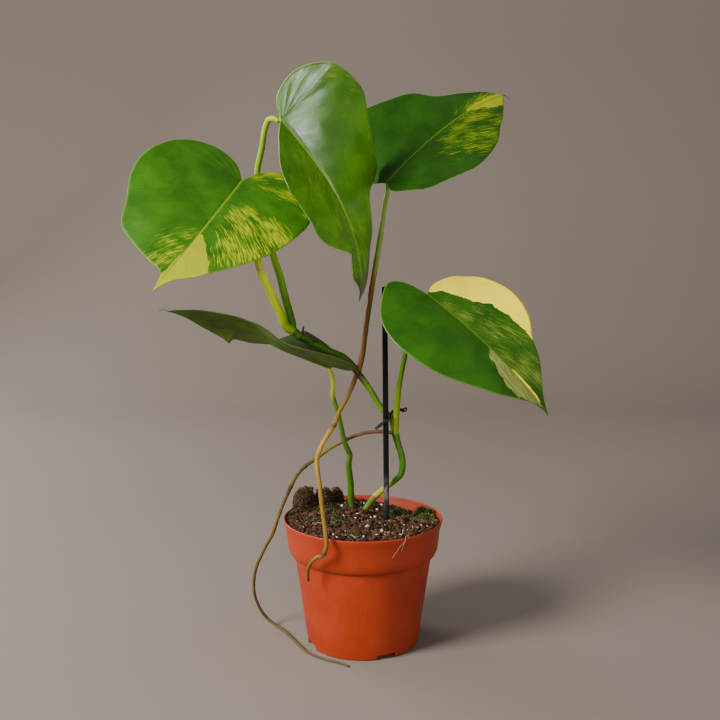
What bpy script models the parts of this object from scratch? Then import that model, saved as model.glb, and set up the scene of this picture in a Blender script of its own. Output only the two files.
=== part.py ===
"""A variegated monstera in a 12 cm nursery pot: pot, potting soil, climbing stem, leaf stalks, aerial roots,
five leaves, a stake and a twist tie. Metres, +Z up, the pot's axis on the Z axis and its foot on the ground."""

import math

import bmesh
import bpy
import numpy as np
from mathutils import Matrix, Vector, noise

MM = 0.001
GAP = 0.35  # clearance between pieces that meet, in millimetres
GROUND_GAP = 0.1
TURN_STEPS = 48
RING_SWELL = 0.45  # how far a ring on a stem or a root stands out

# Pot wall, outer side from the lip down to the foot: radius and height in millimetres
POT_OUTSIDE = [
    (60.0, 95.4),
    (59.4, 93.2),
    (58.2, 89.0),
    (56.9, 76.5),
    (56.1, 72.8),
    (54.4, 70.0),
    (52.2, 68.9),
    (51.6, 67.0),
    (47.2, 36.0),
    (42.4, 1.0),
]
POT_HEIGHT = 96.6
POT_WALL = 1.2
POT_FLOOR = 1.6
POT_FOOT_RADIUS = 41.6
DRAIN_NOTCHES = 4
DRAIN_NOTCH_ANGLE = 23.5 - 90.0  # of the notch seen in front, in degrees from +X
DRAIN_NOTCH = (9.0, 15.0, 4.2)  # depth, width and height

# Soil: its level at the axis, and the smooth rises and dips on it as x, y, height and spread
SOIL_LEVEL = 94.4
SOIL_SWELLS = [
    (32.0, 36.0, -8.0, 19.0),
    (-36.0, 20.0, 3.5, 15.0),
    (-9.0, 26.0, 2.4, 9.0),
    (0.0, -40.0, 0.8, 22.0),
]
# Lumps of bark heaped at the left: x, y, radius and height
SOIL_LUMPS = [
    (-46.0, 22.0, 9.0, 15.0),
    (-31.0, 29.0, 7.5, 12.5),
    (-20.5, 37.0, 5.5, 11.0),
]
SOIL_RINGS = 14
SOIL_CRUMB = 1.3
SOIL_CHAMFER = 8.0  # height up to which the soil's foot is drawn in from the pot's wall
SOIL_FOOT_RADIUS = 34.0

# Routes of the stems and roots: x, y, z and radius, in millimetres
MAIN_STEM = [
    (-3.0, 16.0, 82.0, 2.3),
    (-1.5, 15.0, 89.0, 2.3),
    (0.7, 14.0, 95.9, 2.3),
    (4.6, 13.5, 102.5, 2.35),
    (10.0, 12.0, 109.5, 2.4),
    (17.0, 9.0, 116.7, 2.3),
    (23.2, 7.0, 122.1, 2.35),
    (28.5, 6.0, 127.9, 2.4),
    (30.0, 5.5, 135.2, 2.4),
    (29.2, 5.5, 142.4, 2.4),
    (26.9, 5.5, 150.3, 2.5),
    (24.5, 5.5, 158.9, 2.6),
    (23.0, 6.0, 165.4, 2.4),
    (20.0, 6.4, 172.1, 2.3),
    (13.6, 6.4, 179.3, 2.25),
    (9.0, 6.0, 187.0, 2.2),
    (3.7, 5.0, 195.8, 2.25),
    (-3.8, 4.0, 206.1, 2.5),
    (-9.7, 3.0, 214.0, 2.5),
    (-15.7, 2.0, 219.0, 2.6),
    (-21.6, 1.0, 221.6, 2.65),
    (-27.0, 0.5, 223.8, 2.7),
    (-38.2, -1.0, 230.1, 2.9),
    (-46.5, -2.0, 234.7, 3.0),
    (-51.0, -2.4, 238.6, 2.8),
]
# Node rings on the main stem: the height of the stem there
MAIN_STEM_RINGS = (109.5, 158.9, 206.1, 231.0, 234.7)

STALK_LEFT = [
    (-51.2, -2.5, 238.0, 3.2),
    (-56.0, -3.2, 241.5, 3.2),
    (-60.3, -4.4, 251.5, 3.2),
    (-65.3, -5.2, 262.1, 3.15),
    (-70.3, -5.8, 273.4, 3.1),
    (-74.5, -6.5, 283.1, 3.15),
    (-76.6, -7.0, 290.5, 2.9),
    (-79.4, -7.5, 305.2, 2.35),
    (-81.8, -7.8, 323.0, 2.15),
    (-84.6, -8.0, 336.0, 1.9),
    (-86.6, -9.4, 342.8, 1.8),
]
STALK_TOP = [
    (-51.2, -2.0, 238.6, 2.8),
    (-53.1, 0.8, 247.1, 2.9),
    (-55.4, 2.2, 255.0, 2.9),
    (-58.4, 3.4, 266.0, 2.85),
    (-61.4, 4.5, 278.6, 2.8),
    (-65.1, 5.5, 289.8, 2.65),
    (-69.8, 6.0, 308.4, 2.5),
    (-73.9, 6.0, 326.5, 2.35),
    (-76.4, 5.0, 344.0, 2.25),
    (-76.6, 3.0, 353.5, 2.15),
    (-72.4, -2.0, 371.2, 2.1),
    (-69.0, -7.0, 385.8, 2.05),
    (-66.4, -9.6, 389.9, 2.1),
    (-62.9, -11.3, 390.2, 2.1),
]
STALK_RIGHT_HIGH = [
    (-3.8, 4.0, 206.1, 2.2),
    (-1.6, 6.4, 214.4, 2.2),
    (2.4, 16.0, 241.0, 2.1),
    (7.1, 27.0, 270.2, 2.05),
    (13.1, 40.0, 304.4, 2.0),
    (17.4, 50.5, 333.0, 1.9),
    (19.2, 54.0, 342.0, 1.8),
]
STALK_RIGHT_LOW = [
    (24.5, 5.5, 158.9, 2.4),
    (24.2, 4.2, 167.8, 2.8),
    (25.0, 3.0, 177.5, 2.6),
    (25.8, 1.0, 185.6, 2.25),
    (26.7, -1.5, 196.9, 2.1),
    (28.4, -4.2, 208.1, 2.0),
    (30.0, -6.0, 217.5, 1.9),
    (33.0, -7.0, 230.4, 1.85),
    (37.3, -7.5, 243.7, 1.75),
    (41.5, -8.0, 254.5, 1.65),
    (43.8, -8.6, 261.0, 1.6),
]
STALK_LOW = [
    (-6.6, 28.0, 82.0, 2.5),
    (-7.8, 26.4, 90.0, 2.55),
    (-8.9, 25.0, 97.5, 2.6),
    (-9.6, 20.5, 117.7, 2.45),
    (-11.0, 15.5, 135.1, 2.35),
    (-10.2, 13.2, 141.2, 2.25),
    (-12.9, 10.5, 148.9, 2.0),
    (-14.8, 8.5, 155.9, 1.9),
    (-17.1, 5.5, 167.5, 1.8),
    (-20.7, 1.0, 183.3, 1.75),
    (-22.2, 0.0, 187.3, 1.8),
    (-22.2, -3.0, 197.9, 1.55),
    (-23.0, -5.2, 206.0, 1.6),
]
ROOT_FRONT = [
    (-3.8, 4.0, 206.1, 1.6),
    (-5.4, 0.8, 203.6, 1.75),
    (-8.2, -2.0, 197.0, 1.7),
    (-12.0, -5.0, 189.0, 1.65),
    (-17.2, -8.0, 179.7, 1.65),
    (-21.7, -11.0, 169.5, 1.85),
    (-26.1, -14.0, 162.5, 1.7),
    (-30.6, -17.0, 155.5, 1.7),
    (-33.5, -21.0, 147.3, 1.7),
    (-33.3, -26.0, 140.9, 1.65),
    (-31.6, -33.0, 132.2, 1.6),
    (-29.8, -43.0, 119.9, 1.6),
    (-28.0, -53.0, 110.9, 1.55),
    (-26.3, -59.5, 101.6, 1.55),
    (-25.9, -61.4, 93.8, 1.5),
    (-27.7, -60.8, 88.2, 1.65),
    (-33.1, -58.0, 84.1, 1.4),
    (-37.3, -54.5, 78.9, 1.35),
    (-39.2, -51.5, 73.9, 1.2),
    (-39.3, -49.0, 64.0, 0.8),
]
ROOT_FRONT_RINGS = (169.5, 88.2)
ROOT_LONG = [
    (24.1, 5.7, 159.6, 1.3),
    (20.4, 7.0, 160.2, 1.35),
    (14.9, 8.5, 160.5, 1.35),
    (9.1, 10.0, 160.1, 1.35),
    (4.1, 11.5, 159.4, 1.35),
    (-3.7, 13.5, 156.9, 1.35),
    (-12.3, 15.5, 153.3, 1.5),
    (-20.1, 14.5, 149.1, 1.35),
    (-27.8, 12.0, 144.8, 1.35),
    (-35.5, 9.0, 139.5, 1.35),
    (-43.9, 6.0, 134.3, 1.5),
    (-50.1, 4.0, 127.7, 1.35),
    (-54.6, 2.0, 119.5, 1.6),
    (-58.5, 1.0, 111.0, 1.35),
    (-61.7, 0.5, 103.1, 1.35),
    (-64.8, 0.0, 94.5, 1.3),
    (-68.6, 1.0, 82.9, 1.3),
    (-73.8, 3.0, 73.2, 1.25),
    (-78.0, 5.0, 64.3, 1.25),
    (-81.7, 8.0, 55.5, 1.25),
    (-84.7, 12.0, 41.9, 1.25),
    (-85.1, 15.0, 32.7, 1.2),
    (-83.3, 18.5, 21.5, 1.2),
    (-80.2, 20.5, 13.5, 1.2),
    (-75.3, 21.5, 6.5, 1.15),
    (-68.2, 19.0, 1.5, 1.1),
    (-59.2, 5.7, 1.2, 1.05),
    (-50.1, -13.0, 1.2, 1.0),
    (-41.6, -28.8, 1.2, 0.95),
    (-32.7, -37.5, 1.2, 0.9),
    (-23.2, -44.0, 1.2, 0.85),
    (-15.6, -48.3, 1.2, 0.8),
    (-11.0, -52.4, 1.2, 0.75),
]
ROOT_LONG_RINGS = (153.3, 134.3, 119.5)
STAKE = [
    (18.7, 0.0, 34.0, 2.1),
    (17.9, 0.0, 94.7, 2.1),
    (15.7, 0.0, 269.9, 2.05),
]
TIE = [
    (9.3, -1.5, 164.8, 0.5),
    (12.6, -2.6, 167.8, 0.5),
    (15.6, -3.1, 170.2, 0.5),
    (18.4, -2.6, 171.7, 0.5),
    (20.2, -0.6, 173.0, 0.5),
    (20.6, 2.4, 174.8, 0.5),
    (23.6, 6.6, 177.0, 0.5),
    (28.6, 7.6, 177.4, 0.5),
    (31.0, 6.6, 177.0, 0.5),
]

STEM_SPACING = 5.0  # between the sections of a tube
STALK_SPACING = 7.0
STAKE_SPACING = 60.0
TIE_SPACING = 2.2

# Leaves. The base is where the stalk meets the blade. Angles are in degrees and lengths in millimetres. A pair of
# angles is the value at the base and at the tip, or the first and second power of a bend along the midrib. Each
# margin runs from the sinus to the tip, as distance across and along the flat blade.
LEAVES = {
    "leaf_left": dict(
        base=(-85.8, -14.0, 347.5),
        heading=-113.5,
        climb=-32.5,
        roll=-27.0,
        length=124.0,
        droop=(5.5, 3.5),
        sweep=(3.0, 2.5),
        twist=(6.0, 14.5),
        fold_right=(9.5, 1.5),
        fold_left=(6.5, 7.0),
        curl_right=(0.5, -13.0),
        curl_left=(-8.0, -15.5),
        lobe_lift=(-3.0, 2.0),
        margin_right=(
            (0, 0), (10.5, -12.5), (27.5, -17), (44, -11.5), (58, 2.5), (66.5, 21), (66, 41.5), (58, 62),
            (51.5, 80.5), (36, 92), (20, 100.5), (4.5, 108.5), (0, 124),
        ),
        margin_left=(
            (0, 0), (7.5, -14), (22, -22), (38.5, -17), (50.5, -3), (59, 16), (58, 35), (53, 56),
            (45.5, 73.5), (34.5, 89.5), (22.5, 103), (8, 112), (0, 124),
        ),
    ),
    "leaf_top": dict(
        base=(-58.0, -14.0, 389.5),
        heading=32.5,
        climb=-44.0,
        roll=60.0,
        length=152.0,
        droop=(3.5, 18.5),
        sweep=(4.5, 51.0),
        twist=(0.5, -32.0),
        fold_right=(20.0, -2.0),
        fold_left=(38.5, -1.0),
        curl_right=(-3.5, -32.0),
        curl_left=(-7.0, -10.0),
        lobe_lift=(0.0, 0.0),
        margin_right=(
            (0, 0), (14, -0.5), (29, 0), (44, 2), (59, 7.5), (64.5, 22.5), (61.5, 40), (59, 58),
            (57.5, 76), (50.5, 92.5), (38, 104), (18, 115), (21, 124.5), (19, 135.5), (4, 143.5), (0, 152),
        ),
        margin_left=(
            (0, 0), (8, -12.5), (23, -17), (38, -14.5), (53.5, -4.5), (62.5, 8.5), (70, 31), (65, 45.5),
            (59, 64), (57, 75.5), (38, 85.5), (33, 106.5), (25, 119), (20.5, 140), (11, 146.5), (0, 152),
        ),
    ),
    "leaf_right_high": dict(
        base=(18.0, 50.0, 347.4),
        heading=21.5,
        climb=45.0,
        roll=27.5,
        length=130.5,
        droop=(12.0, 19.5),
        sweep=(2.0, 0.5),
        twist=(5.0, -6.0),
        fold_right=(19.0, -11.5),
        fold_left=(16.5, 2.5),
        curl_right=(0.0, -22.5),
        curl_left=(8.0, -1.5),
        lobe_lift=(0.5, 0.5),
        margin_right=(
            (0, 0), (14, -6), (29.5, -5), (47.5, -1), (58.5, 3), (62, 27.5), (61.5, 44), (53.5, 64.5),
            (45, 80.5), (33, 95), (22.5, 108.5), (11.5, 119.5), (0, 130.5),
        ),
        margin_left=(
            (0, 0), (12.5, -10.5), (26, -20.5), (44.5, -15.5), (57, -0.5), (64, 19), (62.5, 40), (55.5, 61.5),
            (49, 77.5), (33.5, 88), (23, 107), (13.5, 121.5), (0, 130.5),
        ),
    ),
    "leaf_right_low": dict(
        base=(46.3, -12.0, 266.7),
        heading=-33.0,
        climb=-32.5,
        roll=14.5,
        length=123.5,
        droop=(9.5, 15.5),
        sweep=(-3.5, -3.0),
        twist=(8.0, -25.5),
        fold_right=(7.0, 3.5),
        fold_left=(0.5, 9.0),
        curl_right=(-24.0, -20.0),
        curl_left=(-2.0, 21.5),
        lobe_lift=(16.0, -0.5),
        margin_right=(
            (0, 0), (7.5, -14), (23, -20.5), (38.5, -12.5), (53, 1), (59.5, 18.5), (59.5, 40.5), (54.5, 60),
            (44.5, 78), (32.5, 93), (18, 104), (8, 111.5), (0, 123.5),
        ),
        margin_left=(
            (0, 0), (14, -5.5), (29, -6), (45, -2.5), (59, 7.5), (64, 25), (60.5, 44), (52.5, 60.5),
            (40, 74.5), (31, 89.5), (20, 101.5), (9, 112.5), (0, 123.5),
        ),
    ),
    "leaf_low": dict(
        base=(-24.1, -6.0, 213.0),
        heading=194.0,
        climb=22.0,
        roll=-3.5,
        length=129.0,
        droop=(-4.5, 30.5),
        arch=(-30.0, 0.45),
        sweep=(4.0, 6.0),
        twist=(-1.0, 4.0),
        fold_right=(13.5, -31.5),
        fold_left=(16.0, 7.5),
        fold_turns=(0.12, 0.57),
        curl_right=(-1.0, -6.5),
        curl_left=(-2.5, -2.0),
        lobe_lift=(-1.5, -15.0),
        margin_right=(
            (0, 0), (12, -6), (28, -6.5), (43, -2), (54, 10), (58, 24), (58, 38), (53, 57.5),
            (44, 75.5), (34, 91.5), (22.5, 105.5), (10, 116.5), (0, 129),
        ),
        margin_left=(
            (0, 0), (12, -8.5), (27.5, -10), (44.5, -5.5), (54.5, 6.5), (58, 26), (56.5, 45), (51, 63.5),
            (42.5, 80), (32.5, 94.5), (21.5, 107), (9.5, 117.5), (0, 129),
        ),
    ),
}
SIDES = (("right", 1.0), ("left", -1.0))
FOLD_TURNS = (0.0, 1.0)  # where along the midrib the fold begins and ends to change
ARCH_SPREAD = 0.11
CURL_WIDTH = 60.0  # half-width over which a blade turns by its curl
LOBE_REACH = 0.34  # share of the length over which a lobe takes its lift
VEIN_LINES = 19  # lines from the midrib to the margin on each half
VEIN_STEPS = 6  # steps along each of them
VEIN_START = 0.36  # share of the margin whose lines all start at the base
VEIN_BOW = 1.3
BLADE_THICKNESS = 0.7
MIDRIB_THICKNESS = 2.1
STALK_SEAT = 0.4  # between a stalk's end and the underside of its blade

COLOURS = {
    "terracotta": ((0.62, 0.20, 0.09), 0.5),
    "soil": ((0.045, 0.028, 0.018), 0.95),
    "bark_green": ((0.10, 0.13, 0.04), 0.6),
    "stalk_green": ((0.22, 0.36, 0.06), 0.5),
    "stalk_brown": ((0.20, 0.12, 0.05), 0.6),
    "root_tan": ((0.33, 0.27, 0.08), 0.7),
    "leaf_green": ((0.05, 0.20, 0.02), 0.35),
    "stake_black": ((0.02, 0.02, 0.018), 0.6),
    "tie_grey": ((0.05, 0.055, 0.06), 0.5),
}


def clear_scene():
    for obj in list(bpy.data.objects):
        bpy.data.objects.remove(obj, do_unlink=True)


def new_collection(name, hidden=False):
    collection = bpy.data.collections.new(name)
    collection.hide_render = hidden
    bpy.context.scene.collection.children.link(collection)
    return collection


def new_material(name, colour):
    base, roughness = COLOURS[colour]
    material = bpy.data.materials.new(name)
    material.use_nodes = True
    shader = material.node_tree.nodes["Principled BSDF"]
    shader.inputs["Base Color"].default_value = (*base, 1.0)
    shader.inputs["Roughness"].default_value = roughness
    material.diffuse_color = (*base, 1.0)
    return material


def add_part(name, mesh, colour, smooth=True):
    """A visible piece of the plant, parented to the plant's empty."""
    obj = bpy.data.objects.new(name, mesh)
    obj.data.materials.append(new_material(name + "_material", colour))
    for polygon in obj.data.polygons:
        polygon.use_smooth = smooth
    parts.objects.link(obj)
    obj.parent = root
    return obj


def add_cutter(name, mesh):
    obj = bpy.data.objects.new(name, mesh)
    obj.hide_render = True
    obj.display_type = "WIRE"
    cutters.objects.link(obj)
    return obj


def cut(obj, cutter):
    modifier = obj.modifiers.new("cut_" + cutter.name, "BOOLEAN")
    modifier.object = cutter
    modifier.operation = "DIFFERENCE"
    modifier.solver = "EXACT"


def smooth_route(points, spacing, rings=()):
    """Samples of a smooth curve through points of x, y, z and radius, with a swelling at each ring's height."""
    points = np.array(points, float)
    steps = np.linalg.norm(np.diff(points[:, :3], axis=0), axis=1)
    reach = np.concatenate([[0.0], np.cumsum(steps)])
    slopes = np.gradient(points, reach, axis=0)
    at = np.linspace(0.0, reach[-1], max(2, round(reach[-1] / spacing) + 1))
    ring_at = [reach[np.abs(points[:, 2] - height).argmin()] for height in rings]
    for centre in ring_at:
        at = np.concatenate([at[np.abs(at - centre) > 2.0], centre + np.array([-1.3, 0.0, 1.3])])
    at = np.sort(at)
    i = np.clip(np.searchsorted(reach, at, side="right") - 1, 0, len(reach) - 2)
    gap = (reach[i + 1] - reach[i])[:, None]
    f = (at - reach[i])[:, None] / gap
    start = points[i] * (1 + 2 * f) * (1 - f) ** 2 + slopes[i] * gap * f * (1 - f) ** 2
    end = points[i + 1] * f**2 * (3 - 2 * f) + slopes[i + 1] * gap * f**2 * (f - 1)
    samples = start + end
    for centre in ring_at:
        samples[:, 3] += RING_SWELL * np.exp(-((at - centre) ** 2))
    samples[:, 2] = np.maximum(samples[:, 2], samples[:, 3] + GROUND_GAP)
    return samples


def tube_mesh(name, samples, grow=0.0):
    """A round tube through the samples as a welded mesh. A grown one is wider and longer by that much."""
    samples = samples.copy()
    if grow:
        for end, inner in ((0, 1), (-1, -2)):
            away = samples[end, :3] - samples[inner, :3]
            samples[end, :3] += grow * away / np.linalg.norm(away)
        samples[:, 3] += grow
    curve = bpy.data.curves.new(name, "CURVE")
    curve.dimensions = "3D"
    curve.bevel_depth = MM
    curve.bevel_resolution = 2
    curve.use_fill_caps = True
    spline = curve.splines.new("POLY")
    spline.points.add(len(samples) - 1)
    for point, (x, y, z, radius) in zip(spline.points, samples):
        point.co = (x * MM, y * MM, z * MM, 1.0)
        point.radius = radius
    helper = bpy.data.objects.new(name, curve)
    bpy.context.scene.collection.objects.link(helper)
    graph = bpy.context.evaluated_depsgraph_get()
    mesh = bpy.data.meshes.new_from_object(helper.evaluated_get(graph))
    bpy.data.objects.remove(helper)
    mesh.name = name
    shape = bmesh.new()
    shape.from_mesh(mesh)
    bmesh.ops.remove_doubles(shape, verts=shape.verts, dist=1e-6)
    bmesh.ops.recalc_face_normals(shape, faces=shape.faces)
    shape.to_mesh(mesh)
    shape.free()
    return mesh


def offset_profile(profile, distance):
    """The profile moved towards the axis by a distance, measured square to its own run."""
    run = np.gradient(np.array(profile, float), axis=0)
    run /= np.linalg.norm(run, axis=1)[:, None]
    inward = np.stack([run[:, 1], -run[:, 0]], axis=1)
    return np.array(profile, float) + inward * distance


def wall_radius(profile, height):
    """Radius of a wall profile at a height."""
    rising = profile[::-1]
    return np.interp(height, rising[:, 1], rising[:, 0])


def arc(centre, radius, start, end, count):
    angles = np.radians(np.linspace(start, end, count))
    return [(centre[0] + radius * math.cos(a), centre[1] + radius * math.sin(a)) for a in angles]


def build_pot():
    """The thin-walled pot, turned round its axis, with a notch cut into its foot on each side."""
    inside = offset_profile(POT_OUTSIDE, POT_WALL)
    lip_radius = POT_WALL / 2
    lip = arc((POT_OUTSIDE[0][0] - lip_radius, POT_HEIGHT - lip_radius), lip_radius, 180, 0, 5)
    rising = [tuple(point) for point in inside[::-1] if POT_FLOOR + 1 < point[1] < POT_HEIGHT - 2]
    floor_edge = wall_radius(inside, POT_FLOOR)
    profile = [(0.0, POT_FLOOR), (floor_edge, POT_FLOOR), *rising, *lip, *POT_OUTSIDE[1:]]
    profile += [(POT_FOOT_RADIUS, 0.0), (0.0, 0.0)]
    mesh = bpy.data.meshes.new("pot")
    points = [(radius * MM, 0.0, height * MM) for radius, height in profile]
    mesh.from_pydata(points, [(i, i + 1) for i in range(len(points) - 1)], [])
    pot = add_part("pot", mesh, "terracotta")
    turn = pot.modifiers.new("turn", "SCREW")
    turn.steps = TURN_STEPS
    turn.render_steps = TURN_STEPS
    turn.use_merge_vertices = True
    turn.merge_threshold = 1e-5
    turn.use_smooth_shade = True
    depth, width, height = DRAIN_NOTCH
    for i in range(DRAIN_NOTCHES):
        angle = math.radians(DRAIN_NOTCH_ANGLE + 360.0 * i / DRAIN_NOTCHES)
        shape = bmesh.new()
        bmesh.ops.create_cube(shape, size=MM)
        bmesh.ops.scale(shape, vec=(depth, width, 2 * height), verts=shape.verts)
        mesh = bpy.data.meshes.new(f"drain_notch_{i}")
        shape.to_mesh(mesh)
        shape.free()
        notch = add_cutter(mesh.name, mesh)
        notch.location = Vector((math.cos(angle), math.sin(angle), 0.0)) * POT_FOOT_RADIUS * MM
        notch.rotation_euler.z = angle
        cut(pot, notch)
    return pot


def soil_height(x, y):
    """Height of the soil's crumbed top."""
    height = SOIL_LEVEL
    for at_x, at_y, rise, spread in SOIL_SWELLS:
        height += rise * math.exp(-((x - at_x) ** 2 + (y - at_y) ** 2) / (2 * spread**2))
    height += SOIL_CRUMB * noise.noise(Vector((x, y, 3.0)) / 6.0)
    edge = np.clip((58.5 - math.hypot(x, y)) / 5.0, 0.0, 1.0)
    for at_x, at_y, radius, rise in SOIL_LUMPS:
        share = math.hypot(x - at_x, y - at_y) / radius
        if share < 1.0:
            height += edge * rise * (1.0 - share**3) ** 0.5
    return height


def ring_of(shape, place):
    """A ring of vertices, each at the radius and height that place gives for its angle."""
    ring = []
    for angle in np.linspace(0, 2 * math.pi, TURN_STEPS, endpoint=False):
        radius, height = place(angle)
        ring.append(shape.verts.new((radius * math.cos(angle) * MM, radius * math.sin(angle) * MM, height * MM)))
    return ring


def build_soil(standing):
    """The soil body: a crumbed top, a side that follows the pot's wall, and a plain hole for each standing piece."""
    side = offset_profile(POT_OUTSIDE, POT_WALL + GAP)

    def edge_of(angle):
        height = soil_height(57.0 * math.cos(angle), 57.0 * math.sin(angle))
        return wall_radius(side, height), height

    def top_of(share):
        def place(angle):
            radius = edge_of(angle)[0] * share
            return radius, soil_height(radius * math.cos(angle), radius * math.sin(angle))

        return place

    def flare_of(angle):
        height = min(side[2][1], edge_of(angle)[1] - 1.0)
        return wall_radius(side, height), height

    places = [top_of(k / SOIL_RINGS) for k in range(1, SOIL_RINGS)]
    places += [edge_of, flare_of]
    places += [lambda angle, level=level: tuple(level) for level in side[3:-1]]
    places.append(lambda angle: (wall_radius(side, SOIL_CHAMFER), SOIL_CHAMFER))
    places.append(lambda angle: (SOIL_FOOT_RADIUS, POT_FLOOR + GAP))
    shape = bmesh.new()
    rings = [ring_of(shape, place) for place in places]
    top = shape.verts.new((0.0, 0.0, soil_height(0.0, 0.0) * MM))
    for k in range(TURN_STEPS):
        after = (k + 1) % TURN_STEPS
        shape.faces.new((top, rings[0][k], rings[0][after]))
        for upper, lower in zip(rings, rings[1:]):
            shape.faces.new((upper[k], lower[k], lower[after], upper[after]))
    shape.faces.new(rings[-1][::-1])
    mesh = bpy.data.meshes.new("potting_soil")
    shape.to_mesh(mesh)
    shape.free()
    soil = add_part("potting_soil", mesh, "soil", smooth=False)
    for name, samples in standing.items():
        cut(soil, add_cutter(name + "_hole", tube_mesh(name + "_hole", samples, GAP)))
    return soil


def smooth_margin(points, count):
    """Even steps of a smooth curve through a margin's points."""
    points = np.array(points, float)
    points = np.vstack([2 * points[0] - points[1], points, 2 * points[-1] - points[-2]])
    at = np.linspace(0, len(points) - 3, count)
    i = np.minimum(at.astype(int), len(points) - 4)
    f = (at - i)[:, None]
    a, b, c, d = (points[i + k] for k in range(4))
    return 0.5 * (2 * b + (c - a) * f + (2 * a - 5 * b + 4 * c - d) * f**2 + (3 * b - a - 3 * c + d) * f**3)


def leaf_rotation(leaf):
    """Axes of the blade at its base as columns: across to the right, along the midrib, and out of the upper side."""
    heading, climb, roll = (math.radians(leaf[key]) for key in ("heading", "climb", "roll"))
    along = np.array([math.cos(climb) * math.cos(heading), math.cos(climb) * math.sin(heading), math.sin(climb)])
    level = np.array([math.sin(heading), -math.cos(heading), 0.0])
    up = np.cross(level, along)
    across = math.cos(roll) * level - math.sin(roll) * up
    return np.stack([across, along, math.sin(roll) * level + math.cos(roll) * up], axis=1)


def midrib_frames(leaf, steps=41):
    """Places along the bent midrib, with the directions along it, across the blade and out of it."""
    t = np.linspace(0, 1, steps)
    arch, arch_at = leaf.get("arch", (0.0, 0.5))
    bends = [np.radians(first * t + second * t**2) for first, second in (leaf["droop"], leaf["sweep"], leaf["twist"])]
    bends[0] += np.radians(arch) * np.exp(-(((t - arch_at) / ARCH_SPREAD) ** 2))
    droop, sweep, twist = bends
    along = np.stack([np.sin(sweep) * np.cos(droop), np.cos(sweep) * np.cos(droop), -np.sin(droop)], axis=1)
    level = np.stack([np.cos(sweep), -np.sin(sweep), 0 * t], axis=1)
    up = np.cross(level, along)
    cos, sin = np.cos(twist)[:, None], np.sin(twist)[:, None]
    step = leaf["length"] / (steps - 1)
    places = np.vstack([np.zeros(3), np.cumsum((along[1:] + along[:-1]) * step / 2, axis=0)])
    return places, along, cos * level - sin * up, sin * level + cos * up


def blade_points(leaf, side, sign, across, along):
    """Points of the blade's upper side, in its own axes, for distances across and along the flat blade."""
    places, forward, outward, up = midrib_frames(leaf)
    share = np.clip(along / leaf["length"], 0, 1)
    begin, end = leaf.get("fold_turns", FOLD_TURNS)
    turn = np.clip((share - begin) / (end - begin), 0, 1)
    first, last = leaf["fold_" + side]
    fold = np.radians(first + (last - first) * turn)
    first, last = leaf["curl_" + side]
    curl = np.radians(first + (last - first) * share) / CURL_WIDTH
    half = curl * across / 2
    chord = across * np.sinc(half / math.pi)
    at = share * (len(places) - 1)
    i = np.minimum(at.astype(int), len(places) - 2)
    f = (at - i)[:, None]

    def between(values):
        return values[i] * (1 - f) + values[i + 1] * f

    behind = np.minimum(along, 0.0)
    lift = np.radians(leaf["lobe_lift"][0 if sign > 0 else 1])
    lift = lift * np.clip(-along / leaf["length"] / LOBE_REACH, 0, 0.5)
    outward, up, forward = (between(v) / np.linalg.norm(between(v), axis=1)[:, None] for v in (outward, up, forward))
    return (
        between(places)
        + outward * (sign * chord * np.cos(fold + half))[:, None]
        + up * (chord * np.sin(fold + half) - behind * np.sin(lift))[:, None]
        + forward * (behind * np.cos(lift))[:, None]
    )


def build_leaf(name, leaf):
    """A blade as vein lines from the midrib to the margin, given thickness towards its underside."""
    shape = bmesh.new()
    weights = shape.verts.layers.deform.verify()
    share = np.linspace(0, 1, VEIN_LINES + 1)[1:]
    starts = np.clip((share - VEIN_START) / (1 - VEIN_START), 0, 1) * leaf["length"]
    steps = np.linspace(0, 1, VEIN_STEPS + 1)
    for side, sign in SIDES:
        margin = smooth_margin(leaf["margin_" + side], VEIN_LINES + 1)[1:]
        across = np.maximum(margin[:, 0], 0)[:, None] * steps
        along = starts[:, None] + (margin[:, 1] - starts)[:, None] * steps**VEIN_BOW
        points = blade_points(leaf, side, sign, across.ravel(), along.ravel())
        grid = []
        for k, point in enumerate(points):
            vert = shape.verts.new(point * MM)
            inner = 1 - steps[k % len(steps)]
            vert[weights][0] = float(inner**2.5 * (1 - 0.75 * np.clip(along.flat[k] / leaf["length"], 0, 1)))
            grid.append(vert)
        for line in range(VEIN_LINES - 1):
            for step in range(VEIN_STEPS):
                a = line * len(steps) + step
                corners = (a, a + 1, a + len(steps) + 1, a + len(steps))
                corners = corners if sign > 0 else corners[::-1]
                shape.faces.new([grid[corner] for corner in corners])
    bmesh.ops.remove_doubles(shape, verts=shape.verts, dist=1e-5)
    bmesh.ops.triangulate(shape, faces=shape.faces)
    mesh = bpy.data.meshes.new(name)
    shape.to_mesh(mesh)
    shape.free()
    blade = add_part(name, mesh, "leaf_green")
    blade.vertex_groups.new(name="midrib")
    blade.location = Vector(leaf["base"]) * MM
    blade.rotation_euler = Matrix(leaf_rotation(leaf).tolist()).to_euler()
    thicken = blade.modifiers.new("thicken", "SOLIDIFY")
    thicken.thickness = MIDRIB_THICKNESS * MM
    thicken.offset = -1.0
    thicken.vertex_group = "midrib"
    thicken.thickness_vertex_group = BLADE_THICKNESS / MIDRIB_THICKNESS
    return blade


def stalk_route(points, leaf, end_radius):
    """A stalk's own points and its end, which is just clear of the underside of its blade."""
    end = np.array(leaf["base"]) - leaf_rotation(leaf)[:, 2] * (MIDRIB_THICKNESS + STALK_SEAT)
    return [*points, (*end, end_radius)]


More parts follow.
